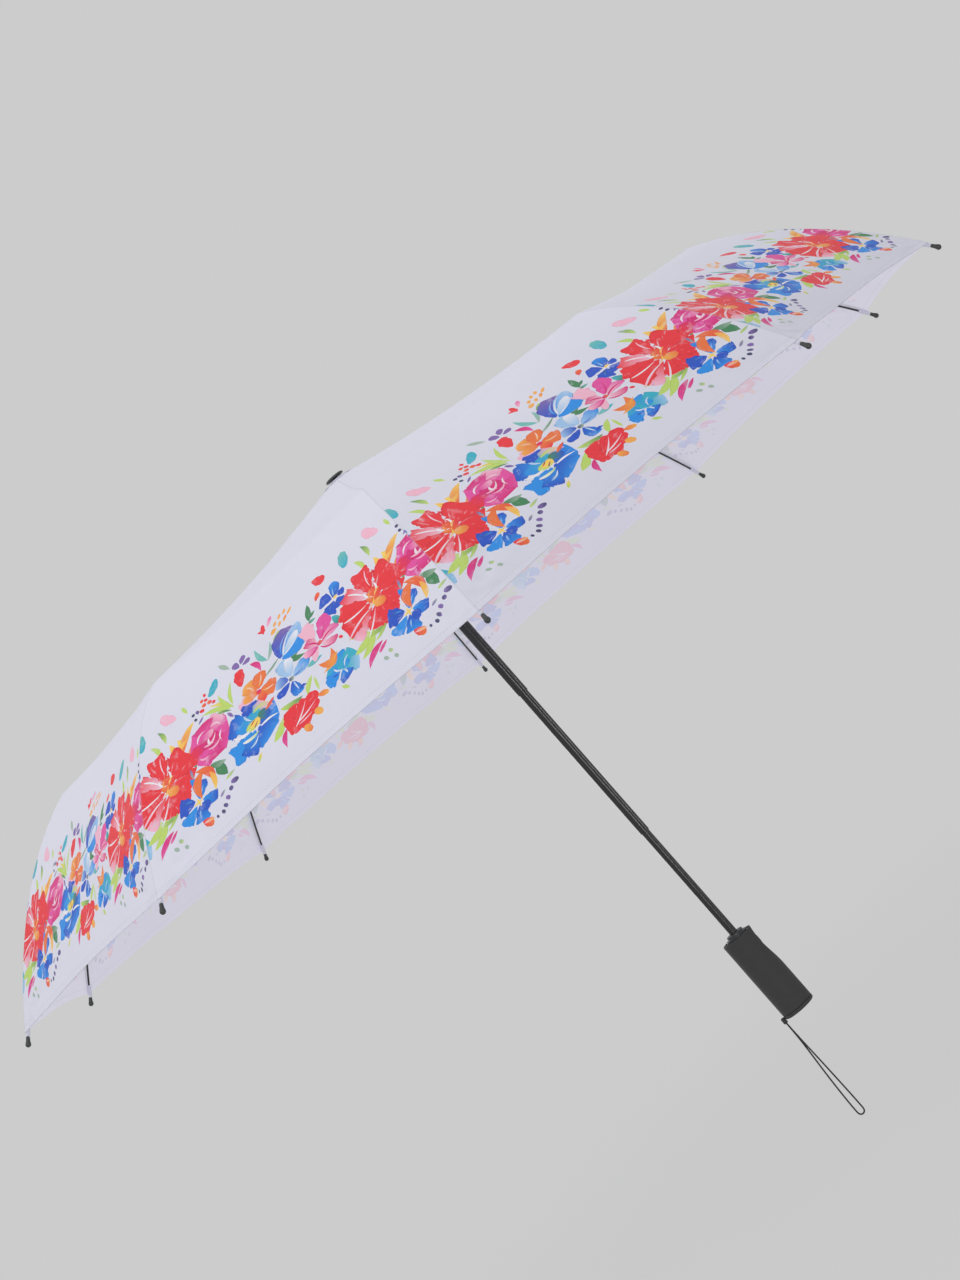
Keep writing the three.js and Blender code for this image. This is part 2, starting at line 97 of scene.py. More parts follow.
def tint(code):
    """A colour written as six hexadecimal digits, as linear red, green and blue."""
    values = [int(code[i : i + 2], 16) / 255 for i in (0, 2, 4)]
    return tuple(v / 12.92 if v <= 0.04045 else ((v + 0.055) / 1.055) ** 2.4 for v in values)


def colour(name, description, code):
    return bpy.props.FloatVectorProperty(
        name=name, description=description, subtype="COLOR", size=3, min=0, max=1, default=tint(code)
    )


def length(name, description, millimetres):
    return bpy.props.FloatProperty(
        name=name, description=description, subtype="DISTANCE", unit="LENGTH",
        min=0, precision=5, default=millimetres * MM,
    )


# Sizes and colours


class UmbrellaCloth(bpy.types.PropertyGroup):
    """Canopy cloth and its flower border"""

    outside: colour("Outside", "Ground colour of the cloth seen from above", "E4E4F3")
    inside: colour("Inside", "Colour of the cloth seen from below", "D9D7E4")
    poppy: colour("Poppy red", "Poppies, tulip and red buds", "F22E3A")
    blush: colour("Blush", "Pale pink washes", "F9BCD3")
    peony: colour("Peony pink", "Peony and lily", "EC4FA6")
    magenta: colour("Magenta", "Deep strokes of the pink flowers", "DE1E7A")
    orange: colour("Orange", "Orange petals", "F4783C")
    amber: colour("Amber", "Warm petals and stamens", "FBB14E")
    yellow: colour("Yellow", "Yellow leaves and flower eyes", "FFD864")
    royal: colour("Royal blue", "Pansies and the dark side of blue petals", "1E55CC")
    azure: colour("Azure", "Bright side of blue petals", "1F93EE")
    sky: colour("Sky blue", "Pale blue washes", "A3CBF3")
    cyan: colour("Cyan", "Cyan flower and drops", "33B4CC")
    leaf: colour("Leaf green", "Dark leaves", "43895A")
    lime: colour("Lime green", "Light leaves", "C3DE6E")
    teal: colour("Teal", "Blue-green leaves", "72C2BC")
    sage: colour("Sage", "Grey-green leaves", "A5BCAC")
    purple: colour("Purple", "Berries and small petals", "8468B0")
    ink: colour("Ink", "Dark berries", "3F4470")
    white: colour("White", "Gaps and strokes between petals", "F4F2F8")
    thickness: length("Thickness", "Thickness of the cloth", 0.3)
    sag: length("Sag", "How far a panel hangs in between two ribs", 3.2)
    grid: length("Grid", "Spacing of the points of a panel", 7.5)


class UmbrellaMetal(bpy.types.PropertyGroup):
    """Shaft, ribs and hubs"""

    enamel: colour("Enamel", "Black enamel of the shaft and ribs", "0E0E0F")
    plastic: colour("Plastic", "Black plastic of the hubs and button", "1B1B1C")
    nickel: colour("Nickel", "Rivets and wire", "B9BBBF")
    rod_radius: length("Rod radius", "Radius of the sprung outer rods", 0.9)
    rivet_radius: length("Rivet radius", "Radius of the rivet heads", 1.15)


class UmbrellaHandle(bpy.types.PropertyGroup):
    """Grip, button and wrist loop"""

    rubber: colour("Rubber", "Soft charcoal finish of the grip", "3A3B39")
    cord: colour("Cord", "Braided cord of the wrist loop", "0B0B0C")
    cord_diameter: length("Cord diameter", "Diameter of the wrist loop's cord", 1.4)


class UmbrellaStage(bpy.types.PropertyGroup):
    """Floor and light"""

    grey: colour("Floor", "Pale floor and surroundings", "CCCCCC")
    key: bpy.props.FloatProperty(name="Key", description="Power of the large soft light", subtype="POWER", default=13)


# Shader expressions

THREAD_PITCH = 0.42  # distance between two ridges of the weave, in millimetres
STITCH_PITCH = 3.0  # from one stitch to the next, in millimetres
HEM_STITCH = 5.2  # from the hem to its line of stitches, in millimetres
HEM_FOLD = 5.4  # width of the turned hem, in millimetres


class Term:
    """One output of a material's nodes. Arithmetic on it adds Math nodes."""

    def __init__(self, finish, socket):
        self.finish, self.socket = finish, socket

    def math(self, operation, *values, **settings):
        made = self.finish.node("ShaderNodeMath", {"operation": operation, **settings}, *values)
        return Term(self.finish, made.outputs[0])

    def __add__(self, other):
        return self.math("ADD", self, other)

    def __radd__(self, other):
        return self.math("ADD", other, self)

    def __sub__(self, other):
        return self.math("SUBTRACT", self, other)

    def __rsub__(self, other):
        return self.math("SUBTRACT", other, self)

    def __mul__(self, other):
        return self.math("MULTIPLY", self, other)

    def __rmul__(self, other):
        return self.math("MULTIPLY", other, self)

    def __pow__(self, other):
        return self.math("POWER", self, other)

    def __abs__(self):
        return self.math("ABSOLUTE", self)

    def sine(self):
        return self.math("SINE", self)

    def clipped(self):
        return self.math("ADD", self, 0.0, use_clamp=True)

    def between(self, low, high):
        """0 below low, 1 above high, and smooth between them."""
        settings = {"interpolation_type": "SMOOTHSTEP"}
        values = {"Value": self, "From Min": low, "From Max": high}
        return Term(self.finish, self.finish.node("ShaderNodeMapRange", settings, **values).outputs[0])


class Finish:
    """A named material whose Principled surface is set from numbers and Terms."""

    def __init__(self, name):
        self.material = bpy.data.materials.new(name)
        self.material.use_nodes = True
        self.tree = self.material.node_tree
        self.surface = self.tree.nodes["Principled BSDF"]

    def node(self, kind, settings=None, *values, **named):
        """Adds a node: its settings come first, then its sockets in order or by name."""
        made = self.tree.nodes.new(kind)
        for key, value in (settings or {}).items():
            setattr(made, key, value)
        pairs = [*zip(made.inputs, values), *((made.inputs[k.replace("_", " ")], v) for k, v in named.items())]
        for socket, value in pairs:
            if isinstance(value, Term):
                self.tree.links.new(value.socket, socket)
            elif value is not None:
                socket.default_value = value
        return made

    def attribute(self, name, output):
        made = self.node("ShaderNodeAttribute", {"attribute_name": name})
        return Term(self, made.outputs[output])

    def parts(self, vector):
        made = self.node("ShaderNodeSeparateXYZ", None, vector)
        return [Term(self, socket) for socket in made.outputs]

    def vector(self, x, y, z):
        return Term(self, self.node("ShaderNodeCombineXYZ", None, x, y, z).outputs[0])

    def place(self):
        """Position on the piece at rest, in metres."""
        return Term(self, self.node("ShaderNodeTexCoord").outputs["Object"])

    def stretched(self, vector, scale):
        made = self.node("ShaderNodeVectorMath", {"operation": "MULTIPLY"}, vector, scale)
        return Term(self, made.outputs[0])

    def noise(self, vector, scale, detail=2.0, roughness=0.5):
        values = {"Vector": vector, "Scale": scale, "Detail": detail, "Roughness": roughness}
        return Term(self, self.node("ShaderNodeTexNoise", None, **values).outputs["Fac"])

    def mix(self, share, first, second, blend_type="MIX"):
        """Colour between first and second; each is a Term or linear red, green and blue."""
        settings = {"data_type": "RGBA", "blend_type": blend_type}
        made = self.node("ShaderNodeMix", settings)
        for socket, value in ((made.inputs[0], share), (made.inputs[6], first), (made.inputs[7], second)):
            if isinstance(value, Term):
                self.tree.links.new(value.socket, socket)
            else:
                socket.default_value = (*value, 1) if hasattr(value, "__len__") else value
        return Term(self, made.outputs[2])

    def bump(self, height, distance, strength=1.0):
        values = {"Height": height, "Distance": distance, "Strength": strength}
        return Term(self, self.node("ShaderNodeBump", None, **values).outputs[0])

    def clear_behind(self):
        """Makes the back of every face see-through."""
        back = Term(self, self.node("ShaderNodeNewGeometry").outputs["Backfacing"])
        clear = Term(self, self.node("ShaderNodeBsdfTransparent").outputs[0])
        both = self.node("ShaderNodeMixShader", None, back, Term(self, self.surface.outputs[0]), clear)
        self.tree.links.new(both.outputs[0], self.tree.nodes["Material Output"].inputs["Surface"])

    def set(self, **values):
        """Sets the surface's sockets, such as Base_Color=... or Coat_Weight=..."""
        for key, value in values.items():
            socket = self.surface.inputs[key.replace("_", " ")]
            if isinstance(value, Term):
                self.tree.links.new(value.socket, socket)
            else:
                socket.default_value = (*value, 1) if hasattr(value, "__len__") else value
        return self.material


def finish_of(name, build):
    """The material of that name, made by build the first time."""
    return bpy.data.materials.get(name) or build(Finish(name))


def enamel_finish(finish):
    """Glossy black enamel with faint draw lines along the metal and dust specks"""
    colours = bpy.context.scene.umbrella_metal
    place = finish.place()
    lines = finish.noise(finish.stretched(place, (900, 900, 14)), 1.0, 3.0)
    cloud = finish.noise(place, 60.0, 3.0)
    base = finish.mix(cloud, colours.enamel, tuple(1.5 * c + 0.004 for c in colours.enamel))
    roughness = 0.13 + 0.08 * cloud + 0.05 * lines
    return finish.set(
        Base_Color=base, Roughness=roughness, Metallic=0.0, Coat_Weight=0.5, Coat_Roughness=0.06,
        Normal=finish.bump(lines, 0.00002, 0.4),
    )


def plastic_finish(finish):
    """Moulded black plastic with a fine spark-eroded grain"""
    colours = bpy.context.scene.umbrella_metal
    place = finish.place()
    grain = finish.noise(place, 2600.0, 2.0)
    cloud = finish.noise(place, 90.0, 3.0)
    base = finish.mix(cloud, colours.plastic, tuple(1.45 * c + 0.003 for c in colours.plastic))
    return finish.set(
        Base_Color=base, Roughness=0.34 + 0.16 * cloud, Normal=finish.bump(grain, 0.00004, 0.5),
    )


def nickel_finish(finish):
    """Bright nickel plate with small tarnish clouds"""
    colours = bpy.context.scene.umbrella_metal
    place = finish.place()
    cloud = finish.noise(place, 420.0, 3.0)
    base = finish.mix(cloud.between(0.35, 0.75), colours.nickel, tuple(0.62 * c for c in colours.nickel))
    return finish.set(Base_Color=base, Roughness=0.24 + 0.2 * cloud, Metallic=1.0)


def rubber_finish(finish):
    """Soft-touch charcoal rubber: stippled, a little paler where the hand rubs it"""
    colours = bpy.context.scene.umbrella_handle
    place = finish.place()
    stipple = finish.noise(place, 1900.0, 2.0, 0.6)
    cloud = finish.noise(place, 45.0, 4.0)
    along = finish.parts(place)[2]
    rubbed = cloud.between(0.45, 0.8) * 0.35 + abs(along * 1000 - 4).between(24, 40) * 0.25
    base = finish.mix(rubbed, colours.rubber, tuple(1.35 * c + 0.01 for c in colours.rubber))
    return finish.set(
        Base_Color=base, Roughness=0.62 - 0.14 * rubbed + 0.06 * stipple,
        Normal=finish.bump(stipple, 0.00006, 0.6), Sheen_Weight=0.15, Sheen_Roughness=0.5,
    )


def cord_finish(finish):
    """Black braided cord: strands crossing on a slant round the cord, with painted shade in the grooves between
    strands and a painted highlight on their crowns
    """
    colours = bpy.context.scene.umbrella_handle
    along, around, _ = finish.parts(finish.attribute("braid", "Vector"))
    first = ((along * 1400 + around * 4) * math.pi).sine()
    second = ((along * 1400 - around * 4) * math.pi).sine()
    strands = abs(first) * 0.5 + abs(second) * 0.5
    # Painted shade and highlight: the cord's colour follows the strands' height, darker in the grooves and paler on
    # the crowns.
    base = finish.mix(strands.between(0.2, 0.9), tuple(0.5 * c for c in colours.cord),
                      tuple(1.9 * c + 0.004 for c in colours.cord))
    return finish.set(
        Base_Color=base, Roughness=0.72 - 0.15 * strands, Normal=finish.bump(strands, 0.0001, 0.8),
        Sheen_Weight=0.25,
    )


def weave(finish, seam, arc):
    """Height of the cloth's threads and of its faint slubs"""
    warp = (seam * (2 * math.pi / THREAD_PITCH)).sine()
    weft = (arc * (2 * math.pi / THREAD_PITCH)).sine()
    slubs = finish.noise(finish.place(), 700.0, 3.0)
    return (warp * weft) * 0.35 + slubs


def sewing(seam, hem):
    """Share of the seam fold, which is pressed in and darkened as painted shade, and of stitch thread, from distances
    to seam and hem in millimetres
    """
    fold = 1 - abs(seam).between(0.2, 1.1)
    hem_line = 1 - abs(hem - HEM_STITCH).between(0.25, 0.6)
    return fold, hem_line


def cloth_finish(finish, inside=False):
    """Printed cloth: a watercolour border that thins, pools at its edges and runs in streaks. The inside layer also
    glows as painted light through the cloth.
    """
    colours = bpy.context.scene.umbrella_cloth
    ground = colours.inside if inside else colours.outside
    print_colour = finish.attribute("print_colour", "Color")
    along, side, strength = finish.parts(finish.attribute("brush", "Vector"))
    seam, arc, hem = finish.parts(finish.attribute("cloth_place", "Vector"))
    place = finish.place()
    wash = finish.noise(place, 110.0, 4.0, 0.6)
    pool = finish.noise(place, 420.0, 3.0)
    streak = finish.noise(finish.vector(along * 1.6, side * 4.5, seam * 0.02), 1.0, 3.0)
    edge = abs(side).between(0.72, 1.0)
    deep = finish.mix(1.0, print_colour, (0.80, 0.74, 0.78), "MULTIPLY")
    pale = finish.mix(0.52, print_colour, ground)
    paint = finish.mix(wash.between(0.56, 0.74) * 0.6, print_colour, pale)
    paint = finish.mix((edge * pool.between(0.35, 0.6) * 0.85).clipped(), paint, deep)
    gaps = streak.between(0.64, 0.72) * (1 - edge) * 0.5
    paint = finish.mix(gaps.clipped(), paint, ground)
    shade = finish.noise(place, 14.0, 3.0)
    bare = finish.mix(shade.between(0.3, 0.8) * 0.5, ground, tuple(0.965 * c for c in ground))
    share = strength * (0.2 if inside else 1.0)
    face = finish.mix(share.clipped(), bare, paint)
    fold, hem_line = sewing(seam, hem)
    stitches = hem_line * ((seam * (2 * math.pi / STITCH_PITCH)).sine()).between(-0.5, -0.2)
    # Painted shade: the cloth darkens along the seam's fold, where its crease lies; the hem's stitches darken too.
    face = finish.mix((fold * 0.22 + stitches * 0.20).clipped(), face, tuple(0.55 * c for c in ground))
    height = weave(finish, seam, arc) * 0.35 - fold * 2.2 + stitches * 0.8
    height = height + (hem - HEM_FOLD).between(-0.3, 0.3) * -1.2
    # Painted light: the inside layer glows with its own colour, in place of daylight passing through the cloth.
    if inside:
        finish.set(Emission_Color=face, Emission_Strength=0.3)
    return finish.set(
        Base_Color=face, Roughness=0.62 + 0.1 * pool, Normal=finish.bump(height, 0.00011, 0.55),
        Sheen_Weight=0.12, Sheen_Roughness=0.4,
    )


def lining_finish(finish):
    return cloth_finish(finish, inside=True)


# Building meshes


class Shape:
    """Points and faces gathered in millimetres, for one piece"""

    def __init__(self):
        self.points, self.faces, self.materials = [], [], []

    def add(self, points, faces, material=0):
        start = sum(len(p) for p in self.points)
        self.points.append(np.asarray(points, float))
        self.faces += [tuple(start + i for i in face) for face in faces]
        self.materials += [material] * len(faces)
        return self

    def turned(self, profile, sides=64, material=0, centre=(0, 0), squeeze=None):
        """A profile of (radius, height) turned about Z; points on the axis are shared."""
        points, rings = [], []
        for radius, height in profile:
            if radius < 1e-9:
                rings.append([len(points)] * sides)
                points.append((centre[0], centre[1], height))
                continue
            rings.append(list(range(len(points), len(points) + sides)))
            for k in range(sides):
                angle = 2 * math.pi * k / sides
                around = radius * (squeeze(angle, height, radius) if squeeze else 1)
                points.append((centre[0] + around * math.cos(angle), centre[1] + around * math.sin(angle), height))
        faces = []
        for low, high in zip(rings, rings[1:]):
            for k in range(sides):
                quad = [low[k], low[(k + 1) % sides], high[(k + 1) % sides], high[k]]
                face = list(dict.fromkeys(quad))
                if len(face) > 2:
                    faces.append(face)
        return self.add(points, faces, material)

    def rod(self, path, radii, sides=16, material=0, closed=False):
        """A round bar along path, with a radius at each point and rounded-off ends"""
        path = np.asarray(path, float)
        radii = np.broadcast_to(np.asarray(radii, float), len(path))
        if closed:
            tangents = np.roll(path, -1, 0) - np.roll(path, 1, 0)
        else:
            tangents = np.gradient(path, axis=0)
        tangents /= np.linalg.norm(tangents, axis=1)[:, None]
        side = np.cross(tangents[0], (0.3, 0.2, 1.0) if abs(tangents[0][2]) < 0.9 else (1.0, 0.2, 0.0))
        points = []
        for at, along, radius in zip(path, tangents, radii):
            side = side - along * side.dot(along)
            side /= np.linalg.norm(side)
            other = np.cross(along, side)
            for k in range(sides):
                angle = 2 * math.pi * k / sides
                points.append(at + radius * (math.cos(angle) * side + math.sin(angle) * other))
        count, faces = len(path), []
        for i in range(count if closed else count - 1):
            for k in range(sides):
                a, b = i * sides, ((i + 1) % count) * sides
                faces.append((a + k, a + (k + 1) % sides, b + (k + 1) % sides, b + k))
        if not closed:
            faces.append(tuple(range(sides))[::-1])
            faces.append(tuple(range((count - 1) * sides, count * sides)))
        return self.add(points, faces, material)

    def moved(self, matrix):
        """The same shape, moved by a 4 by 4 matrix in millimetres"""
        points = np.concatenate(self.points)
        points = points @ np.array(matrix.to_3x3()).T + np.array(matrix.translation)
        self.points = [points]
        return self

    def piece(self, name, finishes, sharp=35):
        """One object from the shape, in metres, shaded smooth up to the sharp angle"""
        mesh = bpy.data.meshes.new(name)
        mesh.from_pydata((np.concatenate(self.points) * MM).tolist(), [], self.faces)
        mesh.polygons.foreach_set("material_index", self.materials)
        for finish in finishes:
            mesh.materials.append(finish)
        mesh.shade_smooth()
        mesh.set_sharp_from_angle(angle=math.radians(sharp))
        mesh.update()
        made = bpy.data.objects.new(name, mesh)
        bpy.context.scene.collection.objects.link(made)
        return made


def settle(made, body, slot, *nodes):
    """Puts a finished piece on its body in place of the frame's nodes, which it hides; the slot is not used."""
    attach(made, body)
    if nodes:
        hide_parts(*nodes)
    return made


def rounded(profile, radius=0.35, steps=3):
    """A (radius, height) profile with its corners rounded off"""
    out = [profile[0]]
    for before, at, after in zip(profile, profile[1:], profile[2:]):
        a, b, c = (np.array(p, float) for p in (before, at, after))
        reach = min(radius, 0.45 * np.linalg.norm(a - b), 0.45 * np.linalg.norm(c - b))
        start = b + (a - b) / max(np.linalg.norm(a - b), 1e-9) * reach
        end = b + (c - b) / max(np.linalg.norm(c - b), 1e-9) * reach
        for i in range(steps + 1):
            t = i / steps
            out.append(tuple((1 - t) ** 2 * start + 2 * t * (1 - t) * b + t**2 * end))
    out.append(profile[-1])
    return out


def spun(index):
    """Turn about Z that takes rib 0 to the rib of that number"""
    return Matrix.Rotation(index * STEP, 4, "Z")


# Camera, then the wrist loop

LOOP_ROUTE = [
    (-0.85, -16.9, -42.8), (-0.85, -17.0, -50), (-0.8, -17.4, -62), (-0.65, -18.4, -77), (-0.5, -19.6, -93),
    (-0.3, -20.6, -109), (-0.1, -21.3, -125), (0, -21.5, -134), (0, -21.4, -138), (0, -20.52, -140.2),
    (0, -18.4, -141.1), (0, -16.28, -140.2), (0, -15.4, -138), (0, -15.3, -134), (0.1, -15.3, -125),
    (0.3, -15.5, -109), (0.5, -15.8, -93), (0.65, -16.2, -77), (0.8, -16.6, -62), (0.85, -16.8, -50),
    (0.85, -16.9, -42.8),
]


def smooth_path(points, steps):
    """Points of a centripetal spline through the given ones, steps for each span"""
    points = [np.array(p, float) for p in points]
    ends = [2 * points[0] - points[1], *points, 2 * points[-1] - points[-2]]
    out = []
    for a, b, c, d in zip(ends, ends[1:], ends[2:], ends[3:]):
        times = [0.0]
        for p, q in ((a, b), (b, c), (c, d)):
            times.append(times[-1] + max(np.linalg.norm(q - p), 1e-6) ** 0.5)
        t0, t1, t2, t3 = times
        for i in range(steps):
            t = t1 + (t2 - t1) * i / steps
            ab = ((t1 - t) * a + (t - t0) * b) / (t1 - t0)
            bc = ((t2 - t) * b + (t - t1) * c) / (t2 - t1)
            cd = ((t3 - t) * c + (t - t2) * d) / (t3 - t2)
            abc = ((t2 - t) * ab + (t - t0) * bc) / (t2 - t0)
            bcd = ((t3 - t) * bc + (t - t1) * cd) / (t3 - t1)
            out.append(((t2 - t) * abc + (t - t1) * bcd) / (t2 - t1))
    out.append(points[-1])
    return np.array(out)


class UMBRELLA_OT_camera(bpy.types.Operator):
    """Adds the camera, tilted as the umbrella is seen"""

    bl_idname = "umbrella.camera"
    bl_label = "Camera"

    def execute(self, context):
        data = bpy.data.cameras.new("camera")
        data.lens, data.sensor_width = 69.44, 36
        data.clip_start, data.clip_end = 0.05, 60
        camera = bpy.data.objects.new("camera", data)
        right = Vector((-0.00103, 0.75185, -0.65933))
        back = Vector((0.99903, -0.02829, -0.03383)).normalized()
        right = (right - back * right.dot(back)).normalized()
        turn = Matrix((right, back.cross(right), back)).transposed().to_4x4()
        camera.matrix_world = Matrix.Translation((2.0922, -0.0572, 0.3001)) @ turn
        context.scene.collection.objects.link(camera)
        context.scene.camera = camera
        return {"FINISHED"}


class UMBRELLA_OT_wrist_loop(bpy.types.Operator):
    """Adds the wrist loop: one braided cord that leaves the lug and comes back into it"""

    bl_idname = "umbrella.wrist_loop"
    bl_label = "Wrist loop"

    def execute(self, context):
        diameter = context.scene.umbrella_handle.cord_diameter
        path = smooth_path(LOOP_ROUTE, 10)
        sides = 14
        shape = Shape().rod(path, diameter / MM / 2, sides)
        loop = shape.piece("wrist_cord", [finish_of("cord", cord_finish)], 80)
        steps = np.linalg.norm(np.diff(path, axis=0), axis=1)
        along = np.r_[0, np.cumsum(steps)] * MM
        braid = loop.data.attributes.new("braid", "FLOAT_VECTOR", "CORNER")
        corners = np.zeros(len(loop.data.loops), int)
        loop.data.loops.foreach_get("vertex_index", corners)
        ring, around = corners // sides, corners % sides / sides
        starts = np.zeros(len(loop.data.polygons), int)
        sizes = starts.copy()
        loop.data.polygons.foreach_get("loop_start", starts)
        loop.data.polygons.foreach_get("loop_total", sizes)
        for start in starts[sizes == 4]:
            four = slice(start, start + 4)
            if np.ptp(around[four]) > 0.5:
                around[four] = np.where(around[four] < 0.5, around[four] + 1, around[four])
        values = np.c_[along[ring], around, np.zeros(len(ring))]
        braid.data.foreach_set("vector", values.ravel())
        settle(loop, "handle", "cord", "wrist_loop")
        return {"FINISHED"}


# Flower border. Each stroke of the brush is a petal from its foot to its tip, in millimetres on the
# flat panel: across from the panel's middle line, and along the rib from the apex.

# How each kind of stroke swells towards its foot and its tip, and how ragged its edge is
KINDS = {
    "leaf": (0.95, 1.15, 0.03),
    "petal": (0.75, 0.42, 0.08),
    "fan": (0.85, 0.27, 0.13),
    "blob": (0.5, 0.5, 0.07),
    "stroke": (0.5, 0.9, 0.0),
}
REPEAT = 204.5  # the border repeats across the cloth, whatever the panels' seams
BRUSH_STEP = 2.1

POPPY = [
    ("fan", -116, 475, -136, 457, 14, 0.00, "blush", "poppy"),
    ("fan", -114, 474, -118, 447, 17, 0.05, "poppy", "poppy"),
    ("fan", -117, 478, -143, 469, 14, -0.05, "poppy", "poppy"),
    ("fan", -117, 486, -136, 501, 13, 0.10, "poppy", "blush"),
    ("fan", -117, 482, -143, 489, 19, 0.08, "poppy", "poppy"),
    ("fan", -112, 485, -122, 505, 14, 0.00, "poppy", "poppy"),
    ("fan", -109, 484, -105, 505, 20, 0.00, "poppy", "poppy"),
    ("fan", -108, 481, -92, 493, 21, 0.00, "poppy", "poppy"),
    ("fan", -110, 477, -91, 463, 32, 0.10, "poppy", "poppy"),
    ("blob", -119, 477, -106, 477, 14, 0.00, "orange", "poppy"),
    ("blob", -115, 484, -105, 489, 8, 0.00, "amber", "orange"),
    ("stroke", -119, 469, -113, 478, 2.0, 0.20, "white", "white"),
    ("stroke", -109, 467, -112, 478, 1.8, -0.20, "white", "white"),
    ("stroke", -106, 474, -112, 479, 1.5, 0.20, "amber", "yellow"),
    ("stroke", -119, 485, -113, 478, 1.6, 0.20, "amber", "yellow"),
    ("stroke", -115, 472, -111, 482, 1.5, 0.30, "amber", "poppy"),
    ("stroke", -142, 479, -120, 480, 1.5, 0.06, "white", "white"),
    ("stroke", -144, 496, -118, 486, 2.0, -0.08, "blush", "white"),
    ("stroke", -129, 506, -115, 488, 1.5, 0.05, "white", "blush"),
    ("stroke", -131, 459, -118, 474, 1.5, -0.06, "white", "white"),
    ("stroke", -112, 450, -112, 468, 1.1, 0.08, "blush", "white"),
]

PEONY = [
    ("fan", -70, 470, -86, 462, 17, 0.0, "peony", "peony"),
    ("fan", -70, 474, -88, 477, 17, 0.0, "magenta", "poppy"),
    ("fan", -70, 476, -80, 489, 16, 0.0, "peony", "peony"),
    ("fan", -68, 476, -66, 491, 19, 0.0, "peony", "magenta"),
    ("fan", -66, 475, -53, 484, 17, 0.0, "magenta", "peony"),
    ("fan", -66, 470, -50, 469, 17, 0.0, "peony", "peony"),
    ("fan", -68, 468, -56, 457, 16, 0.0, "peony", "blush"),
    ("fan", -70, 467, -71, 453, 18, 0.0, "peony", "magenta"),
    ("blob", -78, 470, -61, 474, 15, 0.0, "magenta", "magenta"),
    ("blob", -75, 466, -64, 466, 7, 0.1, "peony", "blush"),
    ("stroke", -76, 474, -63, 469, 2.2, 0.30, "blush", "white"),
    ("stroke", -73, 479, -60, 476, 1.8, 0.25, "blush", "blush"),
    ("stroke", -80, 467, -70, 461, 1.8, -0.25, "white", "blush"),
    ("stroke", -66, 462, -57, 467, 1.8, -0.25, "blush", "white"),
    ("stroke", -82, 481, -73, 484, 1.6, 0.20, "blush", "blush"),
    ("stroke", -58, 472, -60, 481, 1.5, 0.20, "white", "blush"),
    ("stroke", -70, 470, -67, 477, 2.4, 0.30, "white", "blush"),
]

BLUE_POPPY = [
    ("fan", -35, 488, -53, 480, 20, 0.10, "azure", "royal"),
    ("fan", -34, 486, -31, 471, 16, 0.10, "royal", "royal"),
    ("fan", -32, 486, -19, 481, 12, -0.10, "cyan", "blush"),
    ("blob", -48, 486, -24, 484, 13, 0.10, "azure", "cyan"),
    ("fan", -30, 492, -9, 494, 20, 0.10, "royal", "azure"),
    ("fan", -36, 496, -58, 505, 20, -0.12, "azure", "azure"),
    ("fan", -33, 497, -44, 514, 17, 0.00, "azure", "royal"),
    ("fan", -30, 497, -22, 512, 22, 0.00, "royal", "azure"),
    ("blob", -27, 487, -17, 494, 9, 0.00, "leaf", "royal"),
    ("blob", -40, 492, -26, 492, 8, 0.00, "lime", "yellow"),
    ("blob", -36, 493, -27, 489, 5, 0.00, "yellow", "yellow"),
    ("stroke", -52, 489, -36, 493, 2.4, 0.15, "white", "white"),
    ("stroke", -46, 499, -30, 500, 3.0, 0.10, "white", "lime"),
    ("stroke", -28, 498, -11, 500, 2.0, -0.08, "white", "white"),
    ("stroke", -38, 478, -33, 487, 1.8, 0.10, "sky", "white"),
    ("stroke", -42, 508, -32, 503, 1.8, 0.15, "sky", "white"),
    ("stroke", -35, 491, -30, 488, 1.2, 0.00, "poppy", "ink"),
    ("stroke", -33, 495, -28, 491, 1.2, 0.00, "ink", "orange"),
]

ORANGE_BLOOM = [
    ("fan", -22, 469, -38, 472, 12, 0.10, "blush", "blush"),
    ("petal", -21, 468, -30, 455, 13, 0.05, "orange", "amber"),
    ("petal", -19, 467, -12, 454, 13, -0.05, "orange", "orange"),
    ("petal", -19, 470, -3, 474, 13, 0.10, "orange", "orange"),
    ("petal", -20, 470, -34, 466, 8, 0.00, "orange", "amber"),
    ("petal", -20, 471, -18, 481, 9, 0.00, "orange", "poppy"),
    ("blob", -22, 469, -17, 470, 4, 0.00, "poppy", "magenta"),
    ("stroke", -18, 465, -13, 456, 1.4, 0.10, "amber", "white"),
    ("stroke", -23, 465, -28, 457, 1.4, 0.10, "amber", "white"),
    ("stroke", -16, 471, -6, 474, 1.4, 0.10, "amber", "white"),
]

BLUE_TULIP = [
    ("petal", 6, 459, 22, 436, 17, -0.18, "royal", "purple"),
    ("petal", 8, 460, 30, 442, 15, 0.00, "azure", "sky"),
    ("petal", 7, 461, 33, 455, 14, 0.08, "azure", "azure"),
    ("petal", 8, 459, 27, 447, 8, 0.00, "sky", "white"),
    ("stroke", 9, 458, 27, 438, 1.8, -0.12, "white", "sky"),
    ("stroke", 10, 459, 31, 449, 1.6, 0.06, "white", "sky"),
    ("stroke", 8, 456, 17, 441, 1.6, -0.16, "azure", "sky"),
]

PANSY_ABOVE = [
    ("petal", 63, 450, 65, 434, 10, 0.10, "royal", "azure"),
    ("fan", 61, 449, 50, 443, 12, 0.10, "royal", "royal"),
    ("fan", 62, 452, 54, 461, 14, 0.00, "royal", "royal"),
    ("fan", 65, 452, 67, 461, 11, 0.00, "royal", "royal"),
    ("petal", 66, 449, 73, 450, 7, 0.00, "royal", "royal"),
    ("blob", 62, 450, 66, 449, 3, 0.00, "yellow", "yellow"),
    ("stroke", 63, 447, 64, 437, 1.4, 0.00, "sky", "azure"),
    ("stroke", 60, 452, 56, 458, 1.3, 0.00, "ink", "azure"),
]

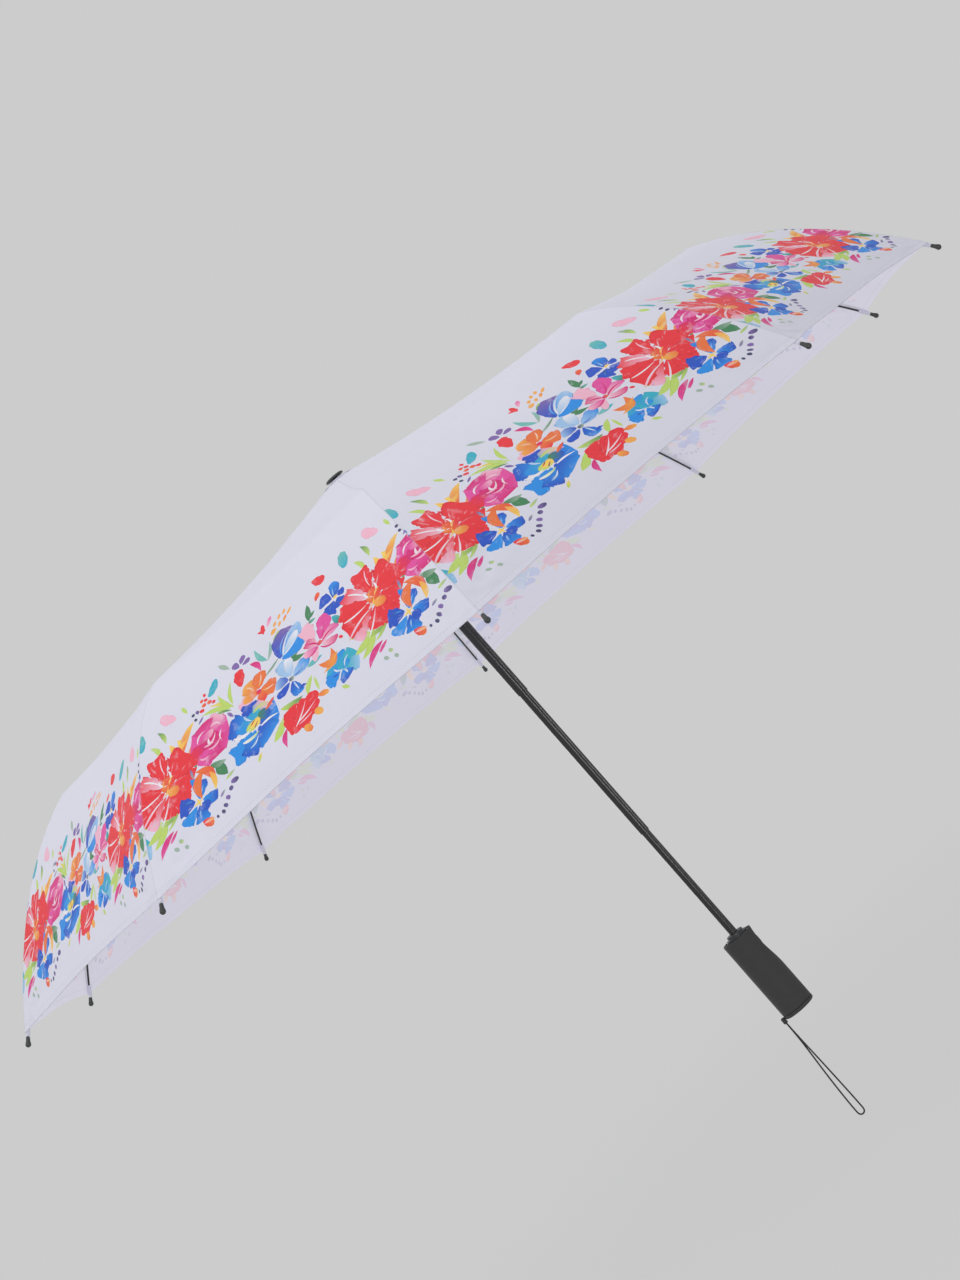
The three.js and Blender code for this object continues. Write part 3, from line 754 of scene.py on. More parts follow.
LILY = [
    ("fan", 36, 472, 31, 451, 13, 0.05, "blush", "blush"),
    ("petal", 41, 474, 50, 455, 14, 0.10, "peony", "peony"),
    ("petal", 38, 476, 27, 467, 8, 0.10, "blush", "magenta"),
    ("petal", 41, 477, 59, 474, 8, -0.10, "blush", "peony"),
    ("petal", 41, 478, 55, 484, 7, 0.10, "blush", "magenta"),
    ("petal", 37, 477, 24, 475, 7, -0.10, "peony", "blush"),
    ("petal", 38, 478, 31, 487, 6, 0.10, "blush", "blush"),
    ("stroke", 42, 474, 49, 459, 1.5, 0.10, "magenta", "peony"),
    ("stroke", 38, 476, 28, 468, 1.6, 0.10, "magenta", "magenta"),
    ("stroke", 40, 478, 57, 475, 1.6, -0.15, "magenta", "magenta"),
    ("stroke", 39, 479, 52, 486, 1.4, 0.15, "magenta", "magenta"),
    ("stroke", 38, 477, 25, 479, 1.4, -0.15, "magenta", "magenta"),
    ("blob", 37, 476, 42, 476, 4, 0.00, "magenta", "orange"),
]

MID_BLUE = [
    ("fan", 7, 480, 4, 463, 12, 0.00, "sky", "sky"),
    ("petal", 9, 481, 11, 464, 9, 0.00, "sky", "white"),
    ("petal", 6, 482, -6, 479, 9, 0.10, "royal", "sky"),
    ("petal", 6, 485, -8, 488, 7, -0.10, "royal", "royal"),
    ("petal", 10, 483, 27, 479, 11, 0.00, "sky", "azure"),
    ("petal", 8, 486, 12, 501, 10, 0.10, "royal", "azure"),
    ("leaf", 11, 498, 18, 498, 4, -0.20, "royal", "royal"),
    ("blob", 6, 483, 11, 484, 4, 0.00, "ink", "sage"),
    ("stroke", 11, 483, 24, 481, 1.4, 0.10, "royal", "sky"),
    ("stroke", 9, 487, 11, 497, 1.4, 0.00, "sky", "white"),
]

RED_TULIP = [
    ("petal", -5, 526, 3, 505, 15, -0.15, "poppy", "poppy"),
    ("petal", -2, 524, 13, 507, 12, 0.00, "poppy", "poppy"),
    ("petal", 0, 520, 24, 511, 11, -0.08, "poppy", "poppy"),
    ("petal", 1, 519, 21, 518, 10, 0.08, "poppy", "poppy"),
    ("petal", -1, 520, 11, 527, 10, 0.10, "poppy", "poppy"),
    ("petal", -6, 511, -2, 528, 11, 0.05, "poppy", "poppy"),
    ("stroke", -3, 523, 12, 509, 1.3, 0.05, "white", "blush"),
    ("stroke", -1, 521, 20, 515, 1.3, 0.05, "white", "blush"),
    ("stroke", 0, 523, 13, 522, 1.1, 0.05, "blush", "white"),
]

CYAN_FLOWER = [
    ("fan", 47, 510, 36, 502, 14, 0.00, "azure", "cyan"),
    ("fan", 48, 509, 48, 497, 15, 0.00, "cyan", "azure"),
    ("fan", 50, 510, 61, 504, 15, 0.00, "cyan", "cyan"),
    ("fan", 50, 512, 62, 516, 13, 0.00, "cyan", "sky"),
    ("fan", 47, 512, 49, 521, 14, 0.00, "azure", "royal"),
    ("fan", 45, 511, 32, 514, 12, 0.00, "azure", "azure"),
    ("blob", 44, 508, 55, 509, 8, 0.00, "cyan", "azure"),
    ("stroke", 41, 506, 48, 511, 1.6, 0.20, "white", "sky"),
    ("stroke", 56, 504, 50, 511, 1.6, 0.20, "sky", "white"),
    ("stroke", 50, 517, 47, 511, 1.4, 0.10, "white", "cyan"),
    ("stroke", 38, 511, 45, 512, 1.4, 0.10, "royal", "royal"),
]

PANSY_BELOW = [
    ("fan", -93, 511, -92, 491, 9, 0.10, "royal", "azure"),
    ("petal", -93, 511, -84, 499, 11, -0.10, "azure", "royal"),
    ("petal", -91, 513, -78, 518, 10, 0.10, "azure", "royal"),
    ("fan", -97, 510, -111, 506, 15, 0.00, "royal", "royal"),
    ("fan", -97, 514, -112, 520, 10, -0.10, "azure", "azure"),
    ("fan", -95, 515, -97, 529, 13, 0.00, "royal", "azure"),
    ("petal", -93, 515, -88, 522, 8, 0.00, "royal", "royal"),
    ("stroke", -99, 513, -90, 512, 1.7, 0.00, "yellow", "yellow"),
    ("stroke", -95, 509, -94, 517, 1.7, 0.00, "yellow", "yellow"),
    ("stroke", -92, 508, -86, 501, 1.4, 0.10, "sky", "azure"),
    ("stroke", -99, 508, -108, 505, 1.4, 0.10, "azure", "ink"),
    ("stroke", -96, 519, -98, 526, 1.4, 0.10, "sky", "azure"),
]

LEAVES_BEHIND = [
    ("leaf", -101, 464, -102, 446, 7, 0.10, "amber", "yellow"),
    ("leaf", -92, 462, -95, 448, 8, 0.15, "yellow", "yellow"),
    ("leaf", -92, 463, -76, 444, 9, -0.15, "orange", "yellow"),
    ("leaf", -104, 456, -84, 453, 6, 0.10, "yellow", "amber"),
    ("leaf", -92, 466, -84, 480, 8, -0.10, "amber", "orange"),
    ("leaf", -89, 470, -84, 462, 6, 0.10, "orange", "amber"),
    ("leaf", -45, 462, -70, 446, 5.5, 0.08, "lime", "lime"),
    ("leaf", -44, 461, -62, 444, 4.0, 0.10, "lime", "yellow"),
    ("leaf", -42, 463, -52, 440, 5.0, -0.08, "lime", "lime"),
    ("leaf", -42, 460, -38, 438, 4.5, -0.10, "lime", "lime"),
    ("leaf", -45, 464, -66, 455, 3.0, 0.10, "leaf", "lime"),
    ("leaf", -104, 442, -109, 425, 5.0, 0.10, "lime", "leaf"),
    ("leaf", -111, 450, -118, 434, 5.0, 0.10, "lime", "lime"),
    ("leaf", 61, 494, 78, 504, 8, -0.10, "lime", "lime"),
    ("leaf", 64, 518, 82, 500, 8, 0.12, "lime", "lime"),
    ("leaf", 73, 503, 93, 506, 5, 0.10, "lime", "leaf"),
    ("leaf", -9, 499, 12, 504, 7, 0.10, "lime", "leaf"),
    ("leaf", 24, 495, 15, 509, 6, 0.10, "lime", "lime"),
    ("leaf", 25, 511, 25, 497, 3, 0.00, "lime", "lime"),
    ("leaf", -23, 520, -9, 507, 9, 0.10, "lime", "lime"),
    ("leaf", -90, 488, -84, 470, 3.5, 0.10, "leaf", "teal"),
    ("leaf", -98, 485, -87, 476, 3.0, 0.10, "teal", "leaf"),
    ("leaf", -71, 495, -65, 511, 11, 0.05, "leaf", "leaf"),
    ("leaf", -76, 493, -62, 499, 7, 0.10, "leaf", "sage"),
    ("leaf", -69, 514, -59, 512, 3.5, 0.00, "lime", "sage"),
    ("leaf", 38, 450, 40, 432, 7, 0.00, "leaf", "leaf"),
    ("leaf", 36, 446, 45, 444, 5, 0.10, "leaf", "leaf"),
    ("leaf", 36, 451, 44, 452, 4, 0.00, "leaf", "teal"),
    ("leaf", 12, 466, 26, 473, 6, 0.10, "leaf", "leaf"),
    ("leaf", 12, 472, 26, 463, 6, -0.10, "leaf", "leaf"),
    ("leaf", 12, 461, 20, 467, 5, 0.00, "leaf", "sage"),
    ("leaf", -4, 450, -12, 429, 5.5, -0.10, "teal", "teal"),
    ("leaf", -4, 451, 2, 434, 4.0, 0.10, "sage", "teal"),
    ("leaf", -12, 462, 6, 456, 3.0, 0.05, "sage", "leaf"),
    ("leaf", 23, 486, 38, 487, 6, 0.00, "teal", "cyan"),
    ("leaf", -126, 513, -108, 498, 4, 0.10, "lime", "leaf"),
    ("leaf", -144, 510, -127, 503, 8, 0.10, "lime", "lime"),
    ("leaf", 5, 441, 12, 431, 6, 0.00, "leaf", "lime"),
    ("leaf", -94, 500, -88, 494, 2.5, 0.10, "purple", "purple"),
]

SMALL_MARKS = [
    ("leaf", -91, 512, -79, 490, 10, -0.25, "orange", "orange"),
    ("leaf", -89, 488, -77, 511, 9, -0.22, "orange", "poppy"),
    ("leaf", -78, 497, -79, 515, 6, -0.10, "amber", "yellow"),
    ("petal", -31, 452, -30, 435, 10, 0.00, "poppy", "poppy"),
    ("leaf", -19, 439, -12, 454, 6, -0.15, "magenta", "peony"),
    ("petal", -28, 433, -33, 425, 6, 0.00, "purple", "purple"),
    ("petal", -26, 431, -22, 424, 6, 0.00, "purple", "purple"),
    ("petal", -25, 433, -17, 433, 5, 0.00, "purple", "purple"),
    ("leaf", -45, 412, -36, 426, 5, 0.00, "sage", "sage"),
    ("blob", -59, 435, -50, 423, 8, 0.10, "cyan", "cyan"),
    ("blob", -125, 431, -125, 412, 9, 0.00, "cyan", "teal"),
    ("blob", -103, 412, -91, 427, 9, 0.10, "blush", "blush"),
    ("petal", 3, 418, 8, 408, 4, 0.00, "blush", "peony"),
    ("petal", -6, 415, 1, 419, 4, 0.00, "poppy", "poppy"),
    ("petal", -1, 422, -1, 410, 4, 0.00, "poppy", "poppy"),
    ("petal", 49, 413, 60, 423, 9, 0.00, "poppy", "poppy"),
    ("petal", 48, 437, 52, 430, 5, 0.00, "poppy", "orange"),
    ("blob", 5, 430, 10, 426, 5, 0.00, "amber", "amber"),
    ("blob", 9, 424, 11, 419, 3, 0.00, "amber", "amber"),
    ("blob", 13, 428, 15, 423, 3, 0.00, "amber", "amber"),
    ("blob", 14, 420, 16, 415, 3, 0.00, "amber", "amber"),
    ("blob", 18, 427, 21, 422, 3, 0.00, "amber", "orange"),
    ("blob", 19, 419, 21, 414, 3, 0.00, "amber", "amber"),
    ("blob", 22, 423, 27, 418, 3, 0.00, "amber", "amber"),
    ("blob", -77, 437, -75, 440, 3, 0.00, "ink", "ink"),
    ("blob", -73, 437, -71, 441, 3, 0.00, "purple", "ink"),
    ("blob", -76, 443, -74, 446, 2.6, 0.00, "ink", "ink"),
    ("blob", -67, 431, -65, 434, 3.2, 0.00, "poppy", "orange"),
    ("blob", -63, 427, -62, 431, 2.6, 0.00, "poppy", "poppy"),
    ("blob", -67, 437, -63, 439, 3.6, 0.00, "orange", "poppy"),
    ("blob", -64, 433, -61, 436, 3.0, 0.00, "poppy", "poppy"),
    ("blob", -70, 440, -66, 443, 3.4, 0.00, "poppy", "poppy"),
    ("blob", -62, 438, -58, 441, 3.6, 0.00, "orange", "poppy"),
    ("blob", -58, 441, -55, 444, 3.2, 0.00, "poppy", "poppy"),
    ("leaf", -74, 451, -68, 447, 3, 0.00, "purple", "purple"),
    ("leaf", -49, 463, -45, 471, 3.5, 0.00, "purple", "purple"),
    ("leaf", -92, 482, -92, 492, 3, 0.00, "purple", "sage"),
    ("petal", 56, 464, 61, 474, 6, 0.00, "cyan", "leaf"),
    ("leaf", 46, 488, 33, 502, 9, -0.30, "orange", "amber"),
    ("leaf", 32, 492, 50, 494, 8, 0.30, "orange", "amber"),
    ("petal", -118, 518, -127, 523, 3, 0.0, "magenta", "peony"),
    ("leaf", -121, 516, -139, 529, 7, 0.12, "magenta", "peony"),
    ("leaf", -10, 518, -15, 532, 6, 0.15, "magenta", "peony"),
    ("petal", 22, 514, 31, 518, 5, 0.0, "orange", "amber"),
    ("blob", 15, 523, 21, 529, 6, 0.0, "amber", "amber"),
    ("blob", 3, 528, 8, 535, 6, 0.0, "amber", "orange"),
    ("petal", -98, 528, -90, 536, 7, 0.0, "poppy", "orange"),
    ("leaf", -88, 533, -98, 530, 3.5, 0.0, "amber", "blush"),
    ("blob", -66, 519, -59, 521, 4.6, 0.0, "purple", "ink"),
    ("blob", -69, 522, -66, 525, 3.8, 0.0, "ink", "purple"),
    ("blob", -74, 526, -71, 530, 3.4, 0.0, "purple", "purple"),
    ("blob", -78, 530, -75, 534, 3.2, 0.0, "ink", "purple"),
    ("blob", -81, 533, -79, 537, 2.8, 0.0, "ink", "ink"),
    ("leaf", -78, 523, -72, 520, 3.0, 0.0, "purple", "sage"),
    ("blob", -86, 533, -85, 536, 2.2, 0.0, "ink", "ink"),
    ("leaf", -40, 524, -35, 518, 4, 0.0, "lime", "yellow"),
    ("leaf", 41, 523, 47, 529, 4, 0.0, "lime", "lime"),
    ("leaf", -84, 421, -80, 432, 4, 0.0, "lime", "lime"),
    ("blob", -126, 529, -123, 533, 3, 0.0, "sage", "sage"),
    ("blob", -120, 526, -118, 530, 3, 0.0, "sage", "lime"),
    ("blob", -118, 533, -116, 537, 3, 0.0, "sage", "sage"),
    ("blob", -30, 482, -13, 489, 4, -0.2, "lime", "blush"),
    ("leaf", -20, 489, -9, 484, 4, 0.0, "orange", "poppy"),
    ("blob", 55, 485, 58, 488, 2.6, 0.0, "poppy", "poppy"),
]

BORDER = [
    *LEAVES_BEHIND, *POPPY, *PEONY, *PANSY_BELOW, *ORANGE_BLOOM, *BLUE_POPPY, *MID_BLUE, *BLUE_TULIP,
    *PANSY_ABOVE, *LILY, *RED_TULIP, *CYAN_FLOWER, *SMALL_MARKS,
]


class Brushstroke:
    """One stroke of the border: its outline, and where a point lies along and across it"""

    def __init__(self, row, shift, seed):
        self.kind, x0, s0, x1, s1, width, self.bend, self.foot, self.tip = row
        self.swell, self.close, self.ragged = KINDS[self.kind]
        self.start = np.array([x0 + shift, s0], float)
        reach = np.array([x1 - x0, s1 - s0], float)
        self.size = float(np.linalg.norm(reach))
        self.ahead = reach / self.size
        self.across = np.array([-self.ahead[1], self.ahead[0]])
        fullest = self.swell / (self.swell + self.close)
        share = (0.8 if self.kind == "leaf" else 1.0) * width / 2
        self.half = share / (fullest**self.swell * (1 - fullest) ** self.close)
        self.phases = np.random.default_rng(seed).uniform(0, 2 * math.pi, 4)
        self.width = width

    def half_width(self, t):
        t = np.clip(t, 0, 1)
        return self.half * t**self.swell * (1 - t) ** self.close

    def outline(self):
        count = int(np.clip((2 * self.size + self.width) / BRUSH_STEP, 9, 46)) // 2 + 2
        t = (1 - np.cos(np.linspace(0, math.pi, count))) / 2
        points = []
        for side, values in ((1, t), (-1, t[::-1][1:-1])):
            wave = np.sin(5.1 * math.pi * values + self.phases[side + 1])
            wave += 0.7 * np.sin(11.3 * math.pi * values + self.phases[side + 2])
            ragged = 1 + self.ragged * wave * np.sin(math.pi * np.clip(values, 0, 1)) ** 0.5
            offset = side * self.half_width(values) * ragged
            offset = offset + self.bend * self.size * 4 * values * (1 - values)
            along = values * self.size * (1 + 0.4 * self.ragged * wave * (values > 0.6))
            points.append(self.start + along[:, None] * self.ahead + offset[:, None] * self.across)
        outline = np.concatenate(points)
        x, s = outline.T
        turning = (x * np.roll(s, -1) - np.roll(x, -1) * s).sum()
        return outline if turning > 0 else outline[::-1]

    def inside(self, points):
        """Along from 0 to 1 and across from -1 to 1 for each point"""
        offset = points - self.start
        t = np.clip(offset @ self.ahead / self.size, 0, 1)
        lateral = offset @ self.across - self.bend * self.size * 4 * t * (1 - t)
        return t, np.clip(lateral / np.maximum(self.half_width(t), 0.15), -1, 1)


# Canopy


def meridian():
    """Radius, drop and arc length of the cloth over a rib, closely spaced"""
    inner = np.linspace(0, BEND_RADIUS, 353)
    rows = np.c_[inner, INNER_SLOPE * inner - INNER_CURVATURE * inner**2]
    t = np.linspace(0, 1, 241)[1:, None]
    bend, control, hem = np.array([(BEND_RADIUS, BEND_DROP), OUTER_CONTROL, HEM])
    rows = np.r_[rows, (1 - t) ** 2 * bend + 2 * t * (1 - t) * control + t**2 * hem]
    arc = np.r_[0, np.cumsum(np.hypot(*np.diff(rows, axis=0).T))]
    return rows[:, 0], rows[:, 1], arc


RADII, DROPS, ARCS = meridian()
HEM_ARC = float(ARCS[-1])
JOINT_ARC = float(np.interp(INNER_JOINT_RADIUS, RADII, ARCS))
BEND_ARC = float(np.interp(BEND_RADIUS, RADII, ARCS))
CENTRE_RADIUS = 9.0
CENTRE_ARC = float(np.interp(CENTRE_RADIUS, RADII, ARCS))
HALF_SINE = math.sin(STEP / 2)


def half_width(arc):
    return HALF_SINE * np.interp(arc, ARCS, RADII)


def draped(x, arc, panel, sag):
    """Points of a panel's outside in millimetres, from flat places on it"""
    share = np.clip(x / np.maximum(half_width(arc), 1e-6), -1, 1)
    inward = 1 - np.abs(share)
    curve = inward * (2 - inward)
    trimmed = arc - np.clip(arc - BEND_ARC, 0, None) * HEM_SCALLOP * curve
    radius, drop = np.interp(trimmed, ARCS, RADII), np.interp(trimmed, ARCS, DROPS)
    slope = np.arctan2(
        np.interp(trimmed + 6, ARCS, DROPS) - np.interp(trimmed - 6, ARCS, DROPS),
        np.interp(trimmed + 6, ARCS, RADII) - np.interp(trimmed - 6, ARCS, RADII),
    )
    first, second = panel * STEP, (panel + 1) * STEP
    across = (share + 1) / 2
    east = radius * ((1 - across) * math.cos(first) + across * math.cos(second))
    north = radius * ((1 - across) * math.sin(first) + across * math.sin(second))
    phase = np.random.default_rng(40 + panel).uniform(0, 2 * math.pi, 6)
    ripple = 0.45 * np.sin(arc / 37 + 3.1 * share + phase[0]) + 0.35 * np.sin(arc / 17 - 4.3 * share + phase[1])
    ripple = ripple * curve * np.clip(arc / 260, 0, 1)
    corner = np.hypot((1 - np.abs(share)) * half_width(arc), HEM_ARC - arc)
    turn = np.arctan2(HEM_ARC - arc, (1 - np.abs(share)) * half_width(arc) + 1e-6)
    side = np.where(share > 0, phase[2], phase[3])
    pull = 0.9 * np.sin(9 * turn + side) * np.exp(-corner / 55)
    pull = pull * np.clip(corner / 16, 0, 1) * np.clip(curve * 4, 0, 1)
    depth = sag * curve * np.clip(radius / 330, 0, 1) + ripple + pull
    middle = (first + second) / 2
    lean = np.sin(slope) * depth
    return np.stack(
        [east - lean * math.cos(middle), north - lean * math.sin(middle), APEX_Z - drop - np.cos(slope) * depth], -1
    )


def draped_normals(x, arc, panel, sag):
    """Outward directions of a panel at flat places on it"""
    width = half_width(arc)
    step = np.where(x > 0, -0.6, 0.6) * np.where(np.abs(x) < 0.7, 0, 1)
    ahead = draped(x + np.where(step == 0, 0.6, 0), arc, panel, sag)
    behind = draped(x + np.where(step == 0, -0.6, step), arc, panel, sag)
    flip = np.where(step > 0, -1.0, 1.0)[:, None]
    rows = draped(x * half_width(arc + 0.6) / width, arc + 0.6, panel, sag)
    rows = rows - draped(x * half_width(arc - 0.6) / width, arc - 0.6, panel, sag)
    normals = np.cross(rows, (ahead - behind) * flip)
    normals /= np.linalg.norm(normals, axis=1)[:, None]
    return normals * np.sign(normals[:, 2:3])


def panel_net(grid):
    """The flat panel cut into triangles along its seams, folds and brushstrokes.
    Returns points, triangles and the topmost stroke of each triangle, and the strokes."""
    rows = []
    for low, high, spacing in (
        (CENTRE_ARC, JOINT_ARC, 1.5 * grid), (JOINT_ARC, BEND_ARC, 1.3 * grid), (BEND_ARC, HEM_ARC, grid),
    ):
        count = int(round((high - low) / spacing))
        rows += list(np.linspace(low, high, count + 1)[:-1])
    rows.append(HEM_ARC)
    points, edges = [], []
    chains = {"first": [], "middle": [], "second": []}
    for arc in rows:
        width = float(half_width(arc))
        cells = max(1, int(round(width / grid)))
        line = []
        for k in range(-cells, cells + 1):
            line.append(len(points))
            points.append((width * k / cells, arc))
        chains["first"].append(line[0])
        chains["middle"].append(line[cells])
        chains["second"].append(line[-1])
        if arc in (rows[0], HEM_ARC) or min(abs(arc - JOINT_ARC), abs(arc - BEND_ARC)) < 1e-6:
            edges += list(zip(line, line[1:]))
    for chain in chains.values():
        edges += list(zip(chain, chain[1:]))
    strokes, outlines = [], []
    for shift in (-REPEAT, 0, REPEAT):
        for number, row in enumerate(BORDER):
            stroke = Brushstroke(row, shift, number)
            outline = stroke.outline()
            if np.any(np.abs(outline[:, 0]) < half_width(outline[:, 1])):
                strokes.append(stroke)
                outlines.append(outline)
    faces = []
    for outline in outlines:
        faces.append(list(range(len(points), len(points) + len(outline))))
        points += [tuple(p) for p in outline]
    made = delaunay_2d_cdt([Vector(p) for p in points], edges, faces, 0, 1e-4, True)
    flat = np.array([tuple(p) for p in made[0]])
    triangles = np.array(made[2])
    top = np.array([max(ids, default=-1) for ids in made[5]])
    middle = flat[triangles].mean(1)
    chain = np.array([points[i] for i in chains["second"]])
    kept = (np.abs(middle[:, 0]) < np.interp(middle[:, 1], chain[:, 1], chain[:, 0])) & (middle[:, 1] < HEM_ARC)
    kept &= middle[:, 1] > rows[0]
    return flat, triangles[kept], top[kept], strokes


def brush_values(flat, triangles, top, strokes):
    """Print colour, and place on the brushstroke with its strength, at each triangle's corners"""
    colours = bpy.context.scene.umbrella_cloth
    shades = np.ones((len(triangles), 3, 4))
    shades[..., :3] = tuple(colours.outside)
    brush = np.zeros((len(triangles), 3, 3))
    for number in np.unique(top[top >= 0]):
        stroke, mine = strokes[number], top == number
        t, side = stroke.inside(flat[triangles[mine]].reshape(-1, 2))
        foot, tip = (np.array(getattr(colours, name)) for name in (stroke.foot, stroke.tip))
        blend = (t**1.3)[:, None]
        shades[mine, :, :3] = (foot * (1 - blend) + tip * blend).reshape(-1, 3, 3)
        brush[mine] = np.stack([t, side, np.ones_like(t)], -1).reshape(-1, 3, 3)
    return shades, brush


SECTIONS = {
    "inner": (CENTRE_ARC, JOINT_ARC, 0.10),
    "middle": (JOINT_ARC, BEND_ARC, 0.075),
    "outer": (BEND_ARC, HEM_ARC, 0.07),
}
SECTION_BODIES = {"inner": "inner_rib", "middle": "mid_rib", "outer": "outer_rib"}


def cloth_shell(name, flat, triangles, shades, brush, panel):
    """Two layers of cloth with a closed rim, from one group of a panel's triangles"""
    settings = bpy.context.scene.umbrella_cloth
    used, index = np.unique(triangles, return_inverse=True)
    index = index.reshape(-1, 3)
    x, arc = flat[used].T
    sag = settings.sag / MM
    outside = draped(x, arc, panel, sag)
    normals = draped_normals(x, arc, panel, sag)
    inside = outside - normals * settings.thickness / MM
    p, q, r = (outside[index[:, k]] for k in range(3))
    facing = (np.cross(q - p, r - p) * normals[index[:, 0]]).sum(1) > 0
    index = np.where(facing[:, None], index, index[:, ::-1])
    shades = np.where(facing[:, None, None], shades, shades[:, ::-1])
    brush = np.where(facing[:, None, None], brush, brush[:, ::-1])
    count = len(used)
    lined = index[:, ::-1] + count
    edges = np.concatenate([index[:, [0, 1]], index[:, [1, 2]], index[:, [2, 0]]])
    known = {tuple(e) for e in edges.tolist()}
    rim = [(b, a, a + count, b + count) for a, b in known if (b, a) not in known]
    faces = [*map(tuple, index.tolist()), *map(tuple, lined.tolist()), *rim]
    mesh = bpy.data.meshes.new(name)
    mesh.from_pydata((np.r_[outside, inside] * MM).tolist(), [], faces)
    mesh.polygons.foreach_set("material_index", [0] * len(index) + [1] * len(lined) + [0] * len(rim))
    mesh.materials.append(finish_of("canopy_cloth", cloth_finish))
    mesh.materials.append(finish_of("canopy_lining", lining_finish))
    rims = np.zeros((len(rim), 4, 3))
    ground = np.ones((len(rim), 4, 4))
    ground[..., :3] = tuple(settings.outside)
    colours = np.r_[shades.reshape(-1, 4), shades[:, ::-1].reshape(-1, 4), ground.reshape(-1, 4)]
    strokes = np.r_[brush.reshape(-1, 3), brush[:, ::-1].reshape(-1, 3), rims.reshape(-1, 3)]
    mesh.attributes.new("print_colour", "FLOAT_COLOR", "CORNER").data.foreach_set("color", colours.ravel())
    mesh.attributes.new("brush", "FLOAT_VECTOR", "CORNER").data.foreach_set("vector", strokes.ravel())
    place = np.stack([half_width(arc) - np.abs(x), arc, HEM_ARC - arc], -1)
    cloth_place = mesh.attributes.new("cloth_place", "FLOAT_VECTOR", "POINT")
    cloth_place.data.foreach_set("vector", np.r_[place, place].ravel())
    mesh.shade_smooth()
    mesh.normals_split_custom_set_from_vertices(np.r_[normals, -normals].tolist())
    mesh.update()
    made = bpy.data.objects.new(name, mesh)
    bpy.context.scene.collection.objects.link(made)
    return made


class UMBRELLA_OT_canopy(bpy.types.Operator):
    """Adds the canopy: ten panels with the flower border, each half-section sewn to its rib"""

    bl_idname = "umbrella.canopy"
    bl_label = "Canopy"

    def execute(self, context):
        settings = context.scene.umbrella_cloth
        flat, triangles, top, strokes = panel_net(settings.grid / MM)
        shades, brush = brush_values(flat, triangles, top, strokes)
        middle = flat[triangles].mean(1)
        a, b, c = (flat[triangles[:, k]] for k in range(3))
        areas = np.abs((b - a)[:, 0] * (c - a)[:, 1] - (b - a)[:, 1] * (c - a)[:, 0]) / 2
        for section, (low, high, keep) in SECTIONS.items():
            for side in (1, -1):
                mine = (middle[:, 1] > low) & (middle[:, 1] < high) & (middle[:, 0] * side < 0)
                if not mine.any():
                    raise RuntimeError(f"no cloth in the {section} section")
                for rib in range(RIBS):
                    panel = rib if side == 1 else (rib - 1) % RIBS
                    word = "ahead" if side == 1 else "behind"
                    name = f"canopy_{section}_{rib}_{word}"
                    piece = cloth_shell(name, flat, triangles[mine], shades[mine], brush[mine], panel)
                    body = f"{SECTION_BODIES[section]}_{rib}"
                    settle(piece, body, "canopy_fabric", "canopy")
                    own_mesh(piece)
        return {"FINISHED"}


def mark_cloth(piece, seam, arc, hem):
    """Marks plain cloth on a piece: far from any seam, or at the distances given, in millimetres."""
    count = len(piece.data.vertices)
    place = piece.data.attributes.new("cloth_place", "FLOAT_VECTOR", "POINT")
    place.data.foreach_set("vector", np.tile((seam, arc, hem), (count, 1)).ravel())


class UMBRELLA_OT_canopy_centre(bpy.types.Operator):
    """Adds the round patch sewn over the middle of the canopy, under the cap"""

    bl_idname = "umbrella.canopy_centre"
    bl_label = "Centre patch"

    def execute(self, context):
        def height(radius):
            return APEX_Z - float(np.interp(radius, RADII, DROPS)) + 0.05

        radii = [3.0, 5, 7, 9, 11, 13, 14.6]
        upper = [(r, height(r) + 0.4) for r in radii] + [(15.0, height(15) + 0.3)]
        lower = [(r, height(r)) for r in radii[::-1]]
        shape = Shape().turned([*upper, *lower, upper[0]], 80)
        patch = shape.piece("canopy_centre", [finish_of("canopy_cloth", cloth_finish)])
        mark_cloth(patch, 40, 10, 300)
        settle(patch, "head", "canopy_fabric")
        return {"FINISHED"}


# Ribs


def unit(angle):
    return np.array([math.cos(angle), math.sin(angle)])


CROWN_PIVOT = np.array([9.5, CROWN_HINGE_Z])
INNER_END = np.array([INNER_JOINT_RADIUS, CROWN_HINGE_Z - 30.2])
MID_END = np.array([BEND_RADIUS, CROWN_HINGE_Z - 53.2])
INNER_ANGLE = math.atan2(*(INNER_END - CROWN_PIVOT)[::-1])
MID_ANGLE = math.atan2(*(MID_END - INNER_END)[::-1])
INNER_PIVOT = INNER_END + 3.4 * unit(INNER_ANGLE + math.pi / 2)
OUTER_PIVOT = MID_END - 3.0 * unit(MID_ANGLE + math.pi / 2)
STRETCHER_PIVOT = CROWN_PIVOT + 90 * unit(INNER_ANGLE)
ROD_START = np.array([OUTER_PIVOT[0] + 1.5, MID_END[1] - 0.2])
ROD_CONTROL = np.array([OUTER_CONTROL[0] - 2.4, APEX_Z - OUTER_CONTROL[1] - 3.2])


def on_rod(t):
    """Point of the outer rod's middle line, in the plane of rib 0"""
    at = (1 - t) ** 2 * ROD_START + 2 * t * (1 - t) * ROD_CONTROL + t**2 * np.array([TIP_RADIUS, TIP_Z])
    return np.array([at[0], 0, at[1]])


def rivet_head(shape, spot, y, side, radius, material):
    """A domed rivet head on the side of a rib at spot, given as distance from the axis and height"""
    profile = [(0, 0.0), (radius, 0.0), (radius * 0.92, 0.22), (radius * 0.6, 0.42), (0, 0.5)]
    turn = Matrix.Translation((spot[0], y, spot[1])) @ Matrix.Rotation(-side * math.pi / 2, 4, "X")
    head = Shape().turned(profile, 20, material).moved(turn)
    return shape.add(head.points[0], head.faces, material)


